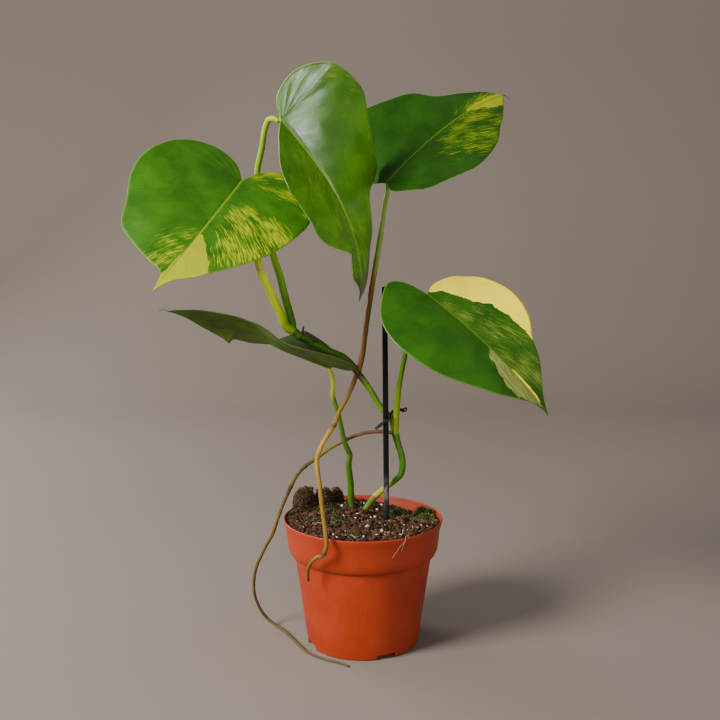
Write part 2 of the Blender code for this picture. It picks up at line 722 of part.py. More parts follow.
def build_stems():
    """The climbing stem, the leaf stalks and the aerial roots, each cut clear of what it grows from."""
    stem = smooth_route(MAIN_STEM, STEM_SPACING, MAIN_STEM_RINGS)
    add_part("main_stem", tube_mesh("main_stem", stem), "bark_green")
    stem_cutter = add_cutter("stem_clearance", tube_mesh("stem_clearance", stem, GAP))
    routes = {
        "stalk_left": (stalk_route(STALK_LEFT, LEAVES["leaf_left"], 1.6), (), "stalk_green"),
        "stalk_top": (stalk_route(STALK_TOP, LEAVES["leaf_top"], 1.8), (), "stalk_green"),
        "stalk_right_high": (stalk_route(STALK_RIGHT_HIGH, LEAVES["leaf_right_high"], 1.6), (), "stalk_brown"),
        "stalk_right_low": (stalk_route(STALK_RIGHT_LOW, LEAVES["leaf_right_low"], 1.4), (), "stalk_green"),
        "stalk_low": (stalk_route(STALK_LOW, LEAVES["leaf_low"], 1.3), (), "stalk_green"),
        "aerial_root_front": (ROOT_FRONT, ROOT_FRONT_RINGS, "root_tan"),
        "aerial_root_long": (ROOT_LONG, ROOT_LONG_RINGS, "root_tan"),
    }
    samples = {name: smooth_route(points, STALK_SPACING, rings) for name, (points, rings, _) in routes.items()}
    pieces = {name: add_part(name, tube_mesh(name, samples[name]), routes[name][2]) for name in routes}
    for name, piece in pieces.items():
        if name != "stalk_low":
            cut(piece, stem_cutter)
    top_cutter = add_cutter("stalk_top_clearance", tube_mesh("stalk_top_clearance", samples["stalk_top"], GAP))
    cut(pieces["stalk_left"], top_cutter)
    stake = smooth_route(STAKE, STAKE_SPACING)
    add_part("support_stake", tube_mesh("support_stake", stake), "stake_black")
    add_part("twist_tie", tube_mesh("twist_tie", smooth_route(TIE, TIE_SPACING)), "tie_grey")
    return {"main_stem": stem, "stalk_low": samples["stalk_low"], "support_stake": stake}


clear_scene()
parts = new_collection("potted_monstera")
cutters = new_collection("cutters", hidden=True)
root = bpy.data.objects.new("potted_monstera", None)
parts.objects.link(root)
build_pot()
build_soil(build_stems())
for leaf_name, leaf_values in LEAVES.items():
    build_leaf(leaf_name, leaf_values)
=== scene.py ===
"""Looks of the variegated monstera in its pot: blades with veins and streaks, stems, roots, soil and pot."""

import math

import bmesh
import bpy
import numpy as np
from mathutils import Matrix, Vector, noise


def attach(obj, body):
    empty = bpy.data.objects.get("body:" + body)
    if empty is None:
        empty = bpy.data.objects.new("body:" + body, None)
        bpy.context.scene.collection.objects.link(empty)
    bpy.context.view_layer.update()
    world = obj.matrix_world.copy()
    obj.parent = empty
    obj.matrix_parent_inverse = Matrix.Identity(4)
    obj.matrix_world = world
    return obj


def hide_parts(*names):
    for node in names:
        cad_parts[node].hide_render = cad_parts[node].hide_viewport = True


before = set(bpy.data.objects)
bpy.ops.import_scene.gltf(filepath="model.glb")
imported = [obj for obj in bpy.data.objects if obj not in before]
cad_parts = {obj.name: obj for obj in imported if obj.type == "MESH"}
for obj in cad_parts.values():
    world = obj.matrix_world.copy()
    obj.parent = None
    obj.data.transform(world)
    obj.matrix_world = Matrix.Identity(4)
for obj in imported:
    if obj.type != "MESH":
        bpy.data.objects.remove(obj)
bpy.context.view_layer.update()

MM = 0.001
random = np.random.default_rng(11)


# Shaders

EXPOSURE = 2.1  # light on a white card, against the light that shows as full white
BRIGHTEST = 0.97  # the most that a surface gives back


def tone(red, green, blue):
    """The surface colour that shows as this display colour. The brightest surfaces go above 255."""
    share = np.array([red, green, blue]) / 255.0
    linear = np.where(share <= 0.04045, share / 12.92, ((share + 0.055) / 1.055) ** 2.4)
    return tuple(float(v) for v in np.minimum(linear / EXPOSURE, BRIGHTEST))


class Look:
    """A node material. Most methods add nodes and give their output."""

    def __init__(self, name, **constants):
        self.material = bpy.data.materials.new(name)
        self.material.use_nodes = True
        self.tree = self.material.node_tree
        self.shader = self.tree.nodes["Principled BSDF"]
        for key, value in constants.items():
            self.shader.inputs[key.replace("_", " ")].default_value = value

    def add(self, kind, inputs, output=0, **settings):
        node = self.tree.nodes.new("ShaderNode" + kind)
        for key, value in settings.items():
            setattr(node, key, value)
        for key, value in inputs.items():
            self.feed(node.inputs[key], value)
        return node.outputs[output]

    def feed(self, socket, value):
        if isinstance(value, bpy.types.NodeSocket):
            self.tree.links.new(value, socket)
        elif socket.type == "RGBA":
            socket.default_value = (*value[:3], 1.0)
        else:
            socket.default_value = value

    def attribute(self, name, output="Fac"):
        return self.add("Attribute", {}, output, attribute_name=name)

    def place(self):
        """Where the point is, in millimetres."""
        return self.stretch(self.add("TexCoord", {}, "Object"), (1000, 1000, 1000))

    def stretch(self, vector, factors):
        return self.add("VectorMath", {0: vector, 1: factors}, operation="MULTIPLY")

    def noise(self, vector, scale, detail=3.0, roughness=0.5, distortion=0.0):
        """Noise at one scale, or at a scale of its own along each axis."""
        if isinstance(scale, tuple):
            vector, scale = self.stretch(vector, scale), 1.0
        inputs = {"Vector": vector, "Scale": scale, "Detail": detail}
        inputs.update({"Roughness": roughness, "Distortion": distortion})
        return self.add("TexNoise", inputs)

    def math(self, operation, first, second):
        return self.add("Math", {0: first, 1: second}, operation=operation)

    def scaled(self, value, factor):
        return self.math("MULTIPLY", value, factor)

    def remap(self, value, low, high, start=0.0, end=1.0):
        inputs = {"Value": value, "From Min": low, "From Max": high, "To Min": start, "To Max": end}
        return self.add("MapRange", inputs, interpolation_type="SMOOTHSTEP")

    def blend(self, share, first, second, mode="MIX"):
        return self.add("Mix", {0: share, 6: first, 7: second}, 2, data_type="RGBA", blend_type=mode)

    def between(self, value, low, high, first, second):
        """From one display colour to another as a value rises."""
        return self.blend(self.remap(value, low, high), tone(*first), tone(*second))

    def cover(self, colour, share, shade, strength=1.0):
        """A colour with a display colour laid over it."""
        if strength != 1.0:
            share = self.scaled(share, strength)
        return self.blend(share, colour, tone(*shade))

    def part(self, vector, index):
        return self.add("SeparateXYZ", {0: vector}, index)

    def bump(self, height, distance, strength=1.0, below=None):
        inputs = {"Height": height, "Distance": distance, "Strength": strength}
        if below is not None:
            inputs["Normal"] = below
        return self.add("Bump", inputs)

    def finish(self, colour, roughness, normal=None):
        self.feed(self.shader.inputs["Base Color"], colour)
        self.feed(self.shader.inputs["Roughness"], roughness)
        if normal is not None:
            self.feed(self.shader.inputs["Normal"], normal)
        return self.material


# Meshes

ATTRIBUTE_KINDS = {1: ("FLOAT", "value"), 3: ("FLOAT_VECTOR", "vector"), 4: ("FLOAT_COLOR", "color")}


def add_mesh(name, points, faces, material, slot=None, nodes=(), **attributes):
    """A piece from points in millimetres, with values for each point that its material reads."""
    mesh = bpy.data.meshes.new(name)
    faces = [list(map(int, face)) for face in faces]
    mesh.from_pydata((np.asarray(points, float) * MM).tolist(), [], faces)
    for key, values in attributes.items():
        values = np.asarray(values, float)
        kind, field = ATTRIBUTE_KINDS[1 if values.ndim == 1 else values.shape[1]]
        mesh.attributes.new(key, kind, "POINT").data.foreach_set(field, values.ravel())
    mesh.polygons.foreach_set("use_smooth", np.ones(len(mesh.polygons), bool))
    mesh.materials.append(material)
    mesh.validate()
    obj = bpy.data.objects.new(name, mesh)
    bpy.context.scene.collection.objects.link(obj)
    if slot is None:
        return obj
    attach(obj, "root")
    if nodes:
        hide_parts(*nodes)
    return obj


def grid_faces(rows, columns, closed=False):
    """Quads of a grid of points that are listed row by row."""
    across = columns if closed else columns - 1
    a = (np.arange(rows - 1)[:, None] * columns + np.arange(across)).ravel()
    b = (np.arange(rows - 1)[:, None] * columns + (np.arange(across) + 1) % columns).ravel()
    return np.stack([a, b, b + columns, a + columns], axis=1)


def closed_faces(rows, columns):
    """Faces of a grid that closes round itself, with one more over each of its open ends."""
    quads = grid_faces(rows, columns, closed=True).tolist()
    return [*quads, list(range(columns))[::-1], [(rows - 1) * columns + k for k in range(columns)]]


def unit(vectors):
    return vectors / np.maximum(np.linalg.norm(vectors, axis=-1, keepdims=True), 1e-12)


def ridge(distance, width):
    """1 on a line, falling off smoothly with the distance from it."""
    return np.exp(-((distance / width) ** 2))


def smooth_noise(points, size, octaves=3, seed=0.0):
    """Noise from about -1 to 1 at each point in millimetres."""
    offset = Vector((seed, 2.7 * seed, -1.3 * seed))
    places = (Vector(point) / size + offset for point in np.asarray(points, float))
    return np.array([noise.fractal(place, 0.6, 2.1, octaves) for place in places])


# Leaf blades

LEAVES = {
    "leaf_left": dict(
        base=(-85.8, -14.0, 347.5), heading=-113.5, climb=-32.5, roll=-27.0, length=124.0, droop=(5.5, 3.5),
        sweep=(3.0, 2.5), twist=(6.0, 14.5), fold_right=(9.5, 1.5), fold_left=(6.5, 7.0),
        curl_right=(0.5, -13.0), curl_left=(-8.0, -15.5), lobe_lift=(-3.0, 2.0),
        margin_right=(
            (0, 0), (10.5, -12.5), (27.5, -17), (44, -11.5), (58, 2.5), (66.5, 21), (66, 41.5), (58, 62),
            (51.5, 80.5), (36, 92), (20, 100.5), (4.5, 108.5), (0, 124),
        ),
        margin_left=(
            (0, 0), (7.5, -14), (22, -22), (38.5, -17), (50.5, -3), (59, 16), (58, 35), (53, 56),
            (45.5, 73.5), (34.5, 89.5), (22.5, 103), (8, 112), (0, 124),
        ),
    ),
    "leaf_top": dict(
        base=(-58.0, -14.0, 389.5), heading=32.5, climb=-44.0, roll=60.0, length=152.0, droop=(3.5, 18.5),
        sweep=(4.5, 51.0), twist=(0.5, -32.0), fold_right=(20.0, -2.0), fold_left=(38.5, -1.0),
        curl_right=(-3.5, -32.0), curl_left=(-7.0, -10.0), lobe_lift=(0.0, 0.0),
        margin_right=(
            (0, 0), (14, -0.5), (29, 0), (44, 2), (59, 7.5), (64.5, 22.5), (61.5, 40), (59, 58),
            (57.5, 76), (50.5, 92.5), (38, 104), (18, 115), (21, 124.5), (19, 135.5), (4, 143.5), (0, 152),
        ),
        margin_left=(
            (0, 0), (8, -12.5), (23, -17), (38, -14.5), (53.5, -4.5), (62.5, 8.5), (70, 31), (65, 45.5),
            (59, 64), (57, 75.5), (38, 85.5), (33, 106.5), (25, 119), (20.5, 140), (11, 146.5), (0, 152),
        ),
    ),
    "leaf_right_high": dict(
        base=(18.0, 50.0, 347.4), heading=21.5, climb=45.0, roll=27.5, length=130.5, droop=(12.0, 19.5),
        sweep=(2.0, 0.5), twist=(5.0, -6.0), fold_right=(19.0, -11.5), fold_left=(16.5, 2.5),
        curl_right=(0.0, -22.5), curl_left=(8.0, -1.5), lobe_lift=(0.5, 0.5),
        margin_right=(
            (0, 0), (14, -6), (29.5, -5), (47.5, -1), (58.5, 3), (62, 27.5), (61.5, 44), (53.5, 64.5),
            (45, 80.5), (33, 95), (22.5, 108.5), (11.5, 119.5), (0, 130.5),
        ),
        margin_left=(
            (0, 0), (12.5, -10.5), (26, -20.5), (44.5, -15.5), (57, -0.5), (64, 19), (62.5, 40), (55.5, 61.5),
            (49, 77.5), (33.5, 88), (23, 107), (13.5, 121.5), (0, 130.5),
        ),
    ),
    "leaf_right_low": dict(
        base=(46.3, -12.0, 266.7), heading=-33.0, climb=-32.5, roll=14.5, length=123.5, droop=(9.5, 15.5),
        sweep=(-3.5, -3.0), twist=(8.0, -25.5), fold_right=(7.0, 3.5), fold_left=(0.5, 9.0),
        curl_right=(-24.0, -20.0), curl_left=(-2.0, 21.5), lobe_lift=(16.0, -0.5),
        margin_right=(
            (0, 0), (7.5, -14), (23, -20.5), (38.5, -12.5), (53, 1), (59.5, 18.5), (59.5, 40.5), (54.5, 60),
            (44.5, 78), (32.5, 93), (18, 104), (8, 111.5), (0, 123.5),
        ),
        margin_left=(
            (0, 0), (14, -5.5), (29, -6), (45, -2.5), (59, 7.5), (64, 25), (60.5, 44), (52.5, 60.5),
            (40, 74.5), (31, 89.5), (20, 101.5), (9, 112.5), (0, 123.5),
        ),
    ),
    "leaf_low": dict(
        base=(-24.1, -6.0, 213.0), heading=194.0, climb=22.0, roll=-3.5, length=129.0, droop=(-4.5, 30.5),
        arch=(-30.0, 0.45), sweep=(4.0, 6.0), twist=(-1.0, 4.0), fold_right=(13.5, -31.5),
        fold_left=(16.0, 7.5), fold_turns=(0.12, 0.57), curl_right=(-1.0, -6.5), curl_left=(-2.5, -2.0),
        lobe_lift=(-1.5, -15.0),
        margin_right=(
            (0, 0), (12, -6), (28, -6.5), (43, -2), (54, 10), (58, 24), (58, 38), (53, 57.5),
            (44, 75.5), (34, 91.5), (22.5, 105.5), (10, 116.5), (0, 129),
        ),
        margin_left=(
            (0, 0), (12, -8.5), (27.5, -10), (44.5, -5.5), (54.5, 6.5), (58, 26), (56.5, 45), (51, 63.5),
            (42.5, 80), (32.5, 94.5), (21.5, 107), (9.5, 117.5), (0, 129),
        ),
    ),
}
SIDES = (("right", 1.0), ("left", -1.0))
FOLD_TURNS = (0.0, 1.0)
ARCH_SPREAD = 0.11
CURL_WIDTH = 60.0
LOBE_REACH = 0.34
VEIN_START = 0.36
VEIN_BOW = 1.3
VEIN_LEAN = 1.35
MARGIN_RUN = 185.0  # length of a margin, which the vein coordinate runs along
HALF_SHIFT = 20.0  # how fast the noise of the two halves parts, for each millimetre off the midrib
HALF_BLEND = 3.0  # where it stops parting
MIDRIB_THICKNESS = 2.1

# Relief of the upper side and thickness of a blade
GROOVE_DEPTH = 0.4
GROOVE_WIDTH = 0.8
RIB_HEIGHT = 1.4
RIB_WIDTH = 1.5
VEIN_GAP = 13.0
FINE_VEIN_GAP = 1.8
VEIN_WIDTH = 0.8
VEIN_RIB_WIDTH = 1.0
VEIN_RELIEF = 0.07
VEIN_BELOW = 0.12
VEIN_FADE = (8.0, 14.0)  # how far from the midrib and from the margin the veins are full
WAVE_HEIGHT = 0.45
WAVE_SIZE = 26.0
WAVE_START = 12.0
MARGIN_DROP = 0.25
MARGIN_WIDTH = 1.6
TIP_LESS_GROOVE = 0.6  # share of the groove, and of the rib below it, that is gone at the tip
TIP_LESS_RIB = 0.8
EDGE_THICKNESS = 0.28
FLESH_THICKNESS = 0.32
FLESH_START = 3.0
# Streaks and patches
STREAK_PULL = 0.31  # how strongly a streaked place brings threads out
SOFT_THREADS = (0.64, 0.72)
HARD_THREADS = (0.715, 0.735)
FAR_OUTSIDE = -40.0
GREEN_FLECKS = {"pale": 0.85, "patch": 0.08}  # how much of its flecks a patch keeps green
MIDRIB_REACH = 0.3  # points this near the midrib take the patches of both halves

# Where a blade is streaked: side, across, along, spread across, spread along and strength, which is below 0
# for a band that stays green
STREAKS = {
    "leaf_left": [
        (-1, 14, 38, 10, 9, 0.84), (-1, 24, 30, 12, 7, 0.80), (-1, 38, 36, 12, 9, 0.86),
        (-1, 46, 46, 9, 8, 1.0), (-1, 51, 47, 8, 10, 0.84), (-1, 42, 68, 11, 11, 0.84),
        (-1, 34, 78, 11, 10, 0.82), (-1, 13, 60, 8, 8, 0.74), (-1, 23, 67, 11, 10, 0.84),
        (-1, 24, 87, 7, 8, 0.70), (-1, 26, 48, 12, 11, 0.84), (-1, 7, -7, 8, 4, 0.76),
        (-1, 17, -18, 11, 5, 0.90), (-1, 39, -3, 10, 6, 0.90), (-1, 34, 0, 9, 6, 0.80),
        (-1, 19, -1, 9, 4, 0.76), (-1, 54, 12, 5, 12, 0.72), (1, 14.5, 81, 7, 4, 0.76),
        (1, 8, 71, 7, 3.5, 0.66), (1, 2, 66, 4, 3, 0.66), (1, 12, 97, 8, 5, 0.86), (1, 7, 91, 7, 4, 0.80),
        (1, 3, 85, 5, 4, 0.70), (1, 11, 105, 5, 4, 0.66), (-1, 5, 7, 8, 7, -0.9), (-1, 25, 16, 14, 5, -0.9),
        (-1, 42, 21, 10, 5, -0.85), (-1, 53, 22, 6, 5, -0.6), (-1, 3, 49, 3, 8, -0.7),
        (-1, 10, 71, 3.5, 9, -0.7),
    ],
    "leaf_top": [
        (-1, 52, 2, 9, 8, 0.64), (-1, 37, -11, 14, 5, 0.66), (-1, 64, 22, 5, 10, 0.50),
        (-1, 60, 50, 5, 10, 0.42), (1, 17, 24, 9, 15, 0.58), (1, 26, 46, 11, 16, 0.58),
        (1, 20, 80, 11, 16, 0.48), (-1, 12, 104, 10, 18, 0.48), (1, 8, 50, 6, 20, 0.50),
    ],
    "leaf_right_high": [
        (1, 12, 55, 8, 6, 0.62), (1, 18, 60, 9, 7, 0.70), (1, 12, 72, 9, 9, 0.74), (1, 29, 70, 10, 9, 0.72),
        (1, 33, 82, 10, 9, 0.70), (1, 29, 47, 10, 6, 0.60), (1, 36, 58, 10, 8, 0.66),
        (1, 45, 66, 9, 9, 0.68), (1, 44, 80, 8, 9, 0.68), (1, 13, 96, 8, 9, 0.80), (1, 8, 88, 8, 8, 0.80),
        (1, 27, 101, 9, 9, 0.68), (-1, 3, 96, 5, 9, 0.74), (-1, 6, 112, 6, 12, 0.84),
    ],
    "leaf_right_low": [
        (-1, 5, 18, 7, 9, 0.66), (-1, 7, 31, 8, 10, 0.70), (-1, 14, 52, 12, 14, 0.66),
        (-1, 28, 60, 11, 16, 0.58), (-1, 6, 75, 7, 10, 0.72), (-1, 12, 88, 9, 10, 0.80),
        (-1, 17, 100, 8, 9, 0.80), (-1, 5, 86, 6, 8, 0.76), (-1, 22, 84, 8, 10, 0.66),
        (-1, 34, 68, 7, 11, 0.62), (-1, 22, 30, 8, 10, 0.50),
    ],
    "leaf_low": [(1, 24, 40, 14, 14, 0.36)],
}
# Solid patches: side, outline as across and along, and how ragged the outline is
PATCHES = {
    "leaf_left": [
        (-1, ((-2, 65), (2.5, 66), (9, 74), (13.5, 81), (20.5, 89), (25.5, 98), (30, 108), (-2, 130)), 3.0),
        (1, ((-2, 84), (1.5, 90), (2.2, 104), (3, 112), (-2, 130)), 2.0),
    ],
    "leaf_right_high": [
        (1, ((-2, 92), (2.0, 95), (5.0, 103), (9.5, 110), (12, 120), (-2, 134)), 6.0),
        (-1, ((-2, 88), (2.3, 93), (4.5, 107), (5, 118), (5, 128), (-2, 134)), 5.0),
    ],
    "leaf_right_low": [
        (
            -1,
            (
                (0, -9), (4, 0), (14, 3), (17.5, 8), (21, 14), (27, 24), (38, 33.5), (36.5, 38),
                (39.5, 49), (39, 58), (40, 66), (39, 75), (44, 82), (80, 82), (80, -30),
            ),
            2.2,
        ),
        (-1, ((-2, 80), (1.2, 84), (2.6, 96), (2.6, 110), (-2, 118)), 1.5),
    ],
}
PALE_PATCHES = {
    "leaf_right_low": [
        (
            1,
            ((-2, 61), (1.5, 61), (9, 67), (14, 78), (20, 90), (20, 99), (14, 106), (0, 118), (-2, 118)),
            5.0,
        ),
    ],
}


def smooth_margin(points, count):
    """Even steps of a smooth curve through a margin's points."""
    points = np.array(points, float)
    points = np.vstack([2 * points[0] - points[1], points, 2 * points[-1] - points[-2]])
    at = np.linspace(0, len(points) - 3, count)
    i = np.minimum(at.astype(int), len(points) - 4)
    f = (at - i)[:, None]
    a, b, c, d = (points[i + k] for k in range(4))
    return 0.5 * (2 * b + (c - a) * f + (2 * a - 5 * b + 4 * c - d) * f**2 + (3 * b - a - 3 * c + d) * f**3)


def leaf_rotation(leaf):
    """Axes of the blade at its base as columns: across to the right, along the midrib, and out of its top."""
    heading, climb, roll = (math.radians(leaf[key]) for key in ("heading", "climb", "roll"))
    level = np.array([math.sin(heading), -math.cos(heading), 0.0])
    ahead = np.array([math.cos(heading), math.sin(heading), 0.0])
    along = math.cos(climb) * ahead + np.array([0.0, 0.0, math.sin(climb)])
    up = np.cross(level, along)
    across = math.cos(roll) * level - math.sin(roll) * up
    return np.stack([across, along, math.sin(roll) * level + math.cos(roll) * up], axis=1)


def midrib_frames(leaf, steps=41):
    """Places along the bent midrib, with the directions along it, across the blade and out of it."""
    t = np.linspace(0, 1, steps)
    arch, arch_at = leaf.get("arch", (0.0, 0.5))
    bends = [leaf[key] for key in ("droop", "sweep", "twist")]
    bends = [np.radians(first * t + second * t**2) for first, second in bends]
    bends[0] += np.radians(arch) * np.exp(-(((t - arch_at) / ARCH_SPREAD) ** 2))
    droop, sweep, twist = bends
    along = np.stack([np.sin(sweep) * np.cos(droop), np.cos(sweep) * np.cos(droop), -np.sin(droop)], axis=1)
    level = np.stack([np.cos(sweep), -np.sin(sweep), 0 * t], axis=1)
    up = np.cross(level, along)
    cos, sin = np.cos(twist)[:, None], np.sin(twist)[:, None]
    step = leaf["length"] / (steps - 1)
    places = np.vstack([np.zeros(3), np.cumsum((along[1:] + along[:-1]) * step / 2, axis=0)])
    return places, along, cos * level - sin * up, sin * level + cos * up


def blade_points(leaf, side, sign, across, along):
    """Points of the blade's upper side, in its own axes, for distances across and along the flat blade."""
    places, forward, outward, up = midrib_frames(leaf)
    share = np.clip(along / leaf["length"], 0, 1)
    begin, end = leaf.get("fold_turns", FOLD_TURNS)
    turn = np.clip((share - begin) / (end - begin), 0, 1)
    first, last = leaf["fold_" + side]
    fold = np.radians(first + (last - first) * turn)
    first, last = leaf["curl_" + side]
    curl = np.radians(first + (last - first) * share) / CURL_WIDTH
    half = curl * across / 2
    chord = across * np.sinc(half / math.pi)
    at = share * (len(places) - 1)
    i = np.minimum(at.astype(int), len(places) - 2)
    f = (at - i)[:, None]

    def between(values):
        return values[i] * (1 - f) + values[i + 1] * f

    behind = np.minimum(along, 0.0)
    lift = np.radians(leaf["lobe_lift"][0 if sign > 0 else 1])
    lift = lift * np.clip(-along / leaf["length"] / LOBE_REACH, 0, 0.5)
    outward, up, forward = (unit(between(v)) for v in (outward, up, forward))
    return (
        between(places)
        + outward * (sign * chord * np.cos(fold + half))[:, None]
        + up * (chord * np.sin(fold + half) - behind * np.sin(lift))[:, None]
        + forward * (behind * np.cos(lift))[:, None]
    )


def outline_distance(outline, across, along):
    """Distance to an outline, positive inside it."""
    outline = np.array(outline, float)
    points = np.stack([across, along], axis=1)
    inside = np.zeros(len(points), bool)
    nearest = np.full(len(points), 1e9)
    for start, end in zip(outline, np.roll(outline, -1, axis=0)):
        run = end - start
        f = np.clip(((points - start) @ run) / (run @ run), 0, 1)[:, None]
        nearest = np.minimum(nearest, np.linalg.norm(points - start - f * run, axis=1))
        crosses = (start[1] > points[:, 1]) != (end[1] > points[:, 1])
        rise = end[1] - start[1]
        at = start[0] + run[0] * (points[:, 1] - start[1]) / (rise if rise else 1e-9)
        inside ^= crosses & (points[:, 0] < at)
    return np.where(inside, nearest, -nearest)


def leaf_points(leaf, lines, steps):
    """Both halves of a blade, line by line, with what the look needs at each point."""
    spread = np.linspace(0, 1, steps + 1)
    spread = 0.75 * spread**1.35 + 0.25 * (1 - (1 - spread) ** 2.2)
    share = np.linspace(0, 1, lines + 1)
    starts = np.clip((share - VEIN_START) / (1 - VEIN_START), 0, 1) ** VEIN_LEAN * leaf["length"]
    data = {key: [] for key in ("points", "blade", "vein", "edge", "sign")}
    for side, sign in SIDES:
        margin = smooth_margin(leaf["margin_" + side], lines + 1)
        across = np.maximum(margin[:, 0], 0)[:, None] * spread
        along = starts[:, None] + (margin[:, 1] - starts)[:, None] * spread**VEIN_BOW
        reach = np.hypot(margin[:, 0], margin[:, 1] - starts)[:, None]
        flat = across.ravel(), along.ravel()
        data["points"].append(blade_points(leaf, side, sign, *flat))
        data["blade"].append(np.stack([sign * flat[0], flat[1], 0 * flat[0]], axis=1))
        along_margin = np.repeat(share * MARGIN_RUN, steps + 1)
        up_vein = (reach * spread).ravel()
        half = sign * np.minimum(up_vein, HALF_BLEND) * HALF_SHIFT
        data["vein"].append(np.stack([along_margin, up_vein, half], axis=1))
        data["edge"].append((reach * (1 - spread)).ravel())
        data["sign"].append(np.full(across.size, sign))
    return {key: np.concatenate(values) for key, values in data.items()}


def weld(points, faces):
    """Drops doubled points and the faces that they close up, and gives which points stay."""
    _, first, index = np.unique(np.round(points, 4), axis=0, return_index=True, return_inverse=True)
    faces = index.reshape(-1)[faces]
    whole = (faces[:, 0] != faces[:, 1]) & (faces[:, 1] != faces[:, 2]) & (faces[:, 2] != faces[:, 0])
    return first, faces[whole]


def point_normals(points, faces):
    a, b, c = (points[faces[:, k]] for k in range(3))
    flat = np.cross(b - a, c - a)
    normals = np.zeros_like(points)
    for k in range(3):
        np.add.at(normals, faces[:, k], flat)
    return unit(normals)


def rim_walls(faces, count):
    """Faces between the margin of the upper side and that of the lower side, whose points come after it."""
    ends = np.concatenate([faces[:, [0, 1]], faces[:, [1, 2]], faces[:, [2, 0]]])
    _, index, uses = np.unique(np.sort(ends, axis=1), axis=0, return_inverse=True, return_counts=True)
    start, end = ends[uses[index.reshape(-1)] == 1].T
    walls = [end, start, start + count], [end, start + count, end + count]
    return np.vstack([np.stack(wall, axis=1) for wall in walls])


def leaf_relief(leaf, data, across):
    """Height of the upper side over the smooth blade, and the thickness below it."""
    share = np.clip(data["blade"][:, 1] / leaf["length"], 0, 1)
    off_vein = np.abs((data["vein"][:, 0] + VEIN_GAP / 2) % VEIN_GAP - VEIN_GAP / 2)
    fade = np.clip(data["vein"][:, 1] / VEIN_FADE[0], 0, 1) * np.clip(data["edge"] / VEIN_FADE[1], 0, 1)
    relief = -GROOVE_DEPTH * ridge(across, GROOVE_WIDTH) * (1 - TIP_LESS_GROOVE * share)
    swell = np.cos(off_vein / VEIN_GAP * 2 * math.pi + math.pi)
    relief += fade * VEIN_RELIEF * (swell - ridge(off_vein, VEIN_WIDTH))
    waves = smooth_noise(data["blade"], WAVE_SIZE, 2, leaf["length"])
    relief += WAVE_HEIGHT * np.clip(across / WAVE_START, 0, 1) * waves
    relief -= MARGIN_DROP * np.clip(1 - data["edge"] / MARGIN_WIDTH, 0, 1) ** 2
    rib = ridge(across, RIB_WIDTH) * (1 - TIP_LESS_RIB * share)
    rib += VEIN_BELOW * fade * ridge(off_vein, VEIN_RIB_WIDTH)
    flesh = EDGE_THICKNESS + FLESH_THICKNESS * np.clip(data["edge"] / FLESH_START, 0, 1)
    return relief, flesh + RIB_HEIGHT * rib


def streak_density(name, sign, across, along):
    density = np.zeros(len(across))
    for side, at_across, at_along, wide, tall, strength in STREAKS[name]:
        spot = ((across - at_across) / wide) ** 2 + ((along - at_along) / tall) ** 2
        spot = np.exp(-0.5 * spot) * (sign == side)
        density = np.maximum(density, strength * spot) if strength > 0 else density * (1 + strength * spot)
    return np.clip(density, 0, 1)


def patch_depth(patches, sign, across, along):
    """How far inside a patch each point lies, against how ragged its outline is."""
    depth = np.full(len(across), FAR_OUTSIDE)
    for side, outline, ragged in patches:
        on_side = (sign == side) | (across < MIDRIB_REACH)
        inside = outline_distance(outline, across, along) / ragged
        depth = np.where(on_side, np.maximum(depth, inside), depth)
    return depth


def build_leaf(name, leaf, material, slot, lines=132, steps=38):
    """A blade with a grooved midrib, low lateral veins, a rib below and a thin margin."""
    data = leaf_points(leaf, lines, steps)
    quads = grid_faces(lines + 1, steps + 1)
    quads = np.vstack([quads, quads[:, ::-1] + (lines + 1) * (steps + 1)])
    faces = np.vstack([quads[:, [0, 1, 2]], quads[:, [0, 2, 3]]])
    keep, faces = weld(data["points"], faces)
    data = {key: values[keep] for key, values in data.items()}
    across = np.abs(data["blade"][:, 0])
    flat = data["sign"], across, data["blade"][:, 1]
    relief, thickness = leaf_relief(leaf, data, across)
    normals = point_normals(data["points"], faces)
    top = data["points"] + normals * relief[:, None]
    low = top - normals * thickness[:, None]
    count = len(top)
    both = {
        "vein": data["vein"],
        "blade": data["blade"],
        "edge": data["edge"],
        "midrib": across,
        "streak": streak_density(name, *flat),
    }
    for key, source in (("patch", PATCHES), ("pale", PALE_PATCHES)):
        if name in source:
            both[key] = patch_depth(source[name], *flat)
    return add_mesh(
        name + "_blade",
        np.vstack([top, low]) @ leaf_rotation(leaf).T + np.array(leaf["base"]),
        np.vstack([faces, faces[:, ::-1] + count, rim_walls(faces, count)]),
        material,
        slot,
        [name],
        under=np.repeat([0.0, 1.0], count),
        **{key: np.concatenate([values, values]) for key, values in both.items()},
    )


def side_veins(look, run, blade):
    """Lateral veins, which fade in and out, and the finer ones between them."""
    faint = look.remap(look.noise(blade, 0.05, 2, 0.5), 0.35, 0.65, 0.3, 1.0)
    lateral = look.remap(look.math("PINGPONG", run, VEIN_GAP / 2), 0.08, 0.45, 1.0, 0.0)
    minor = look.remap(look.math("PINGPONG", run, FINE_VEIN_GAP / 2), 0.0, 0.45, 1.0, 0.0)
    return look.math("MULTIPLY", lateral, faint), minor


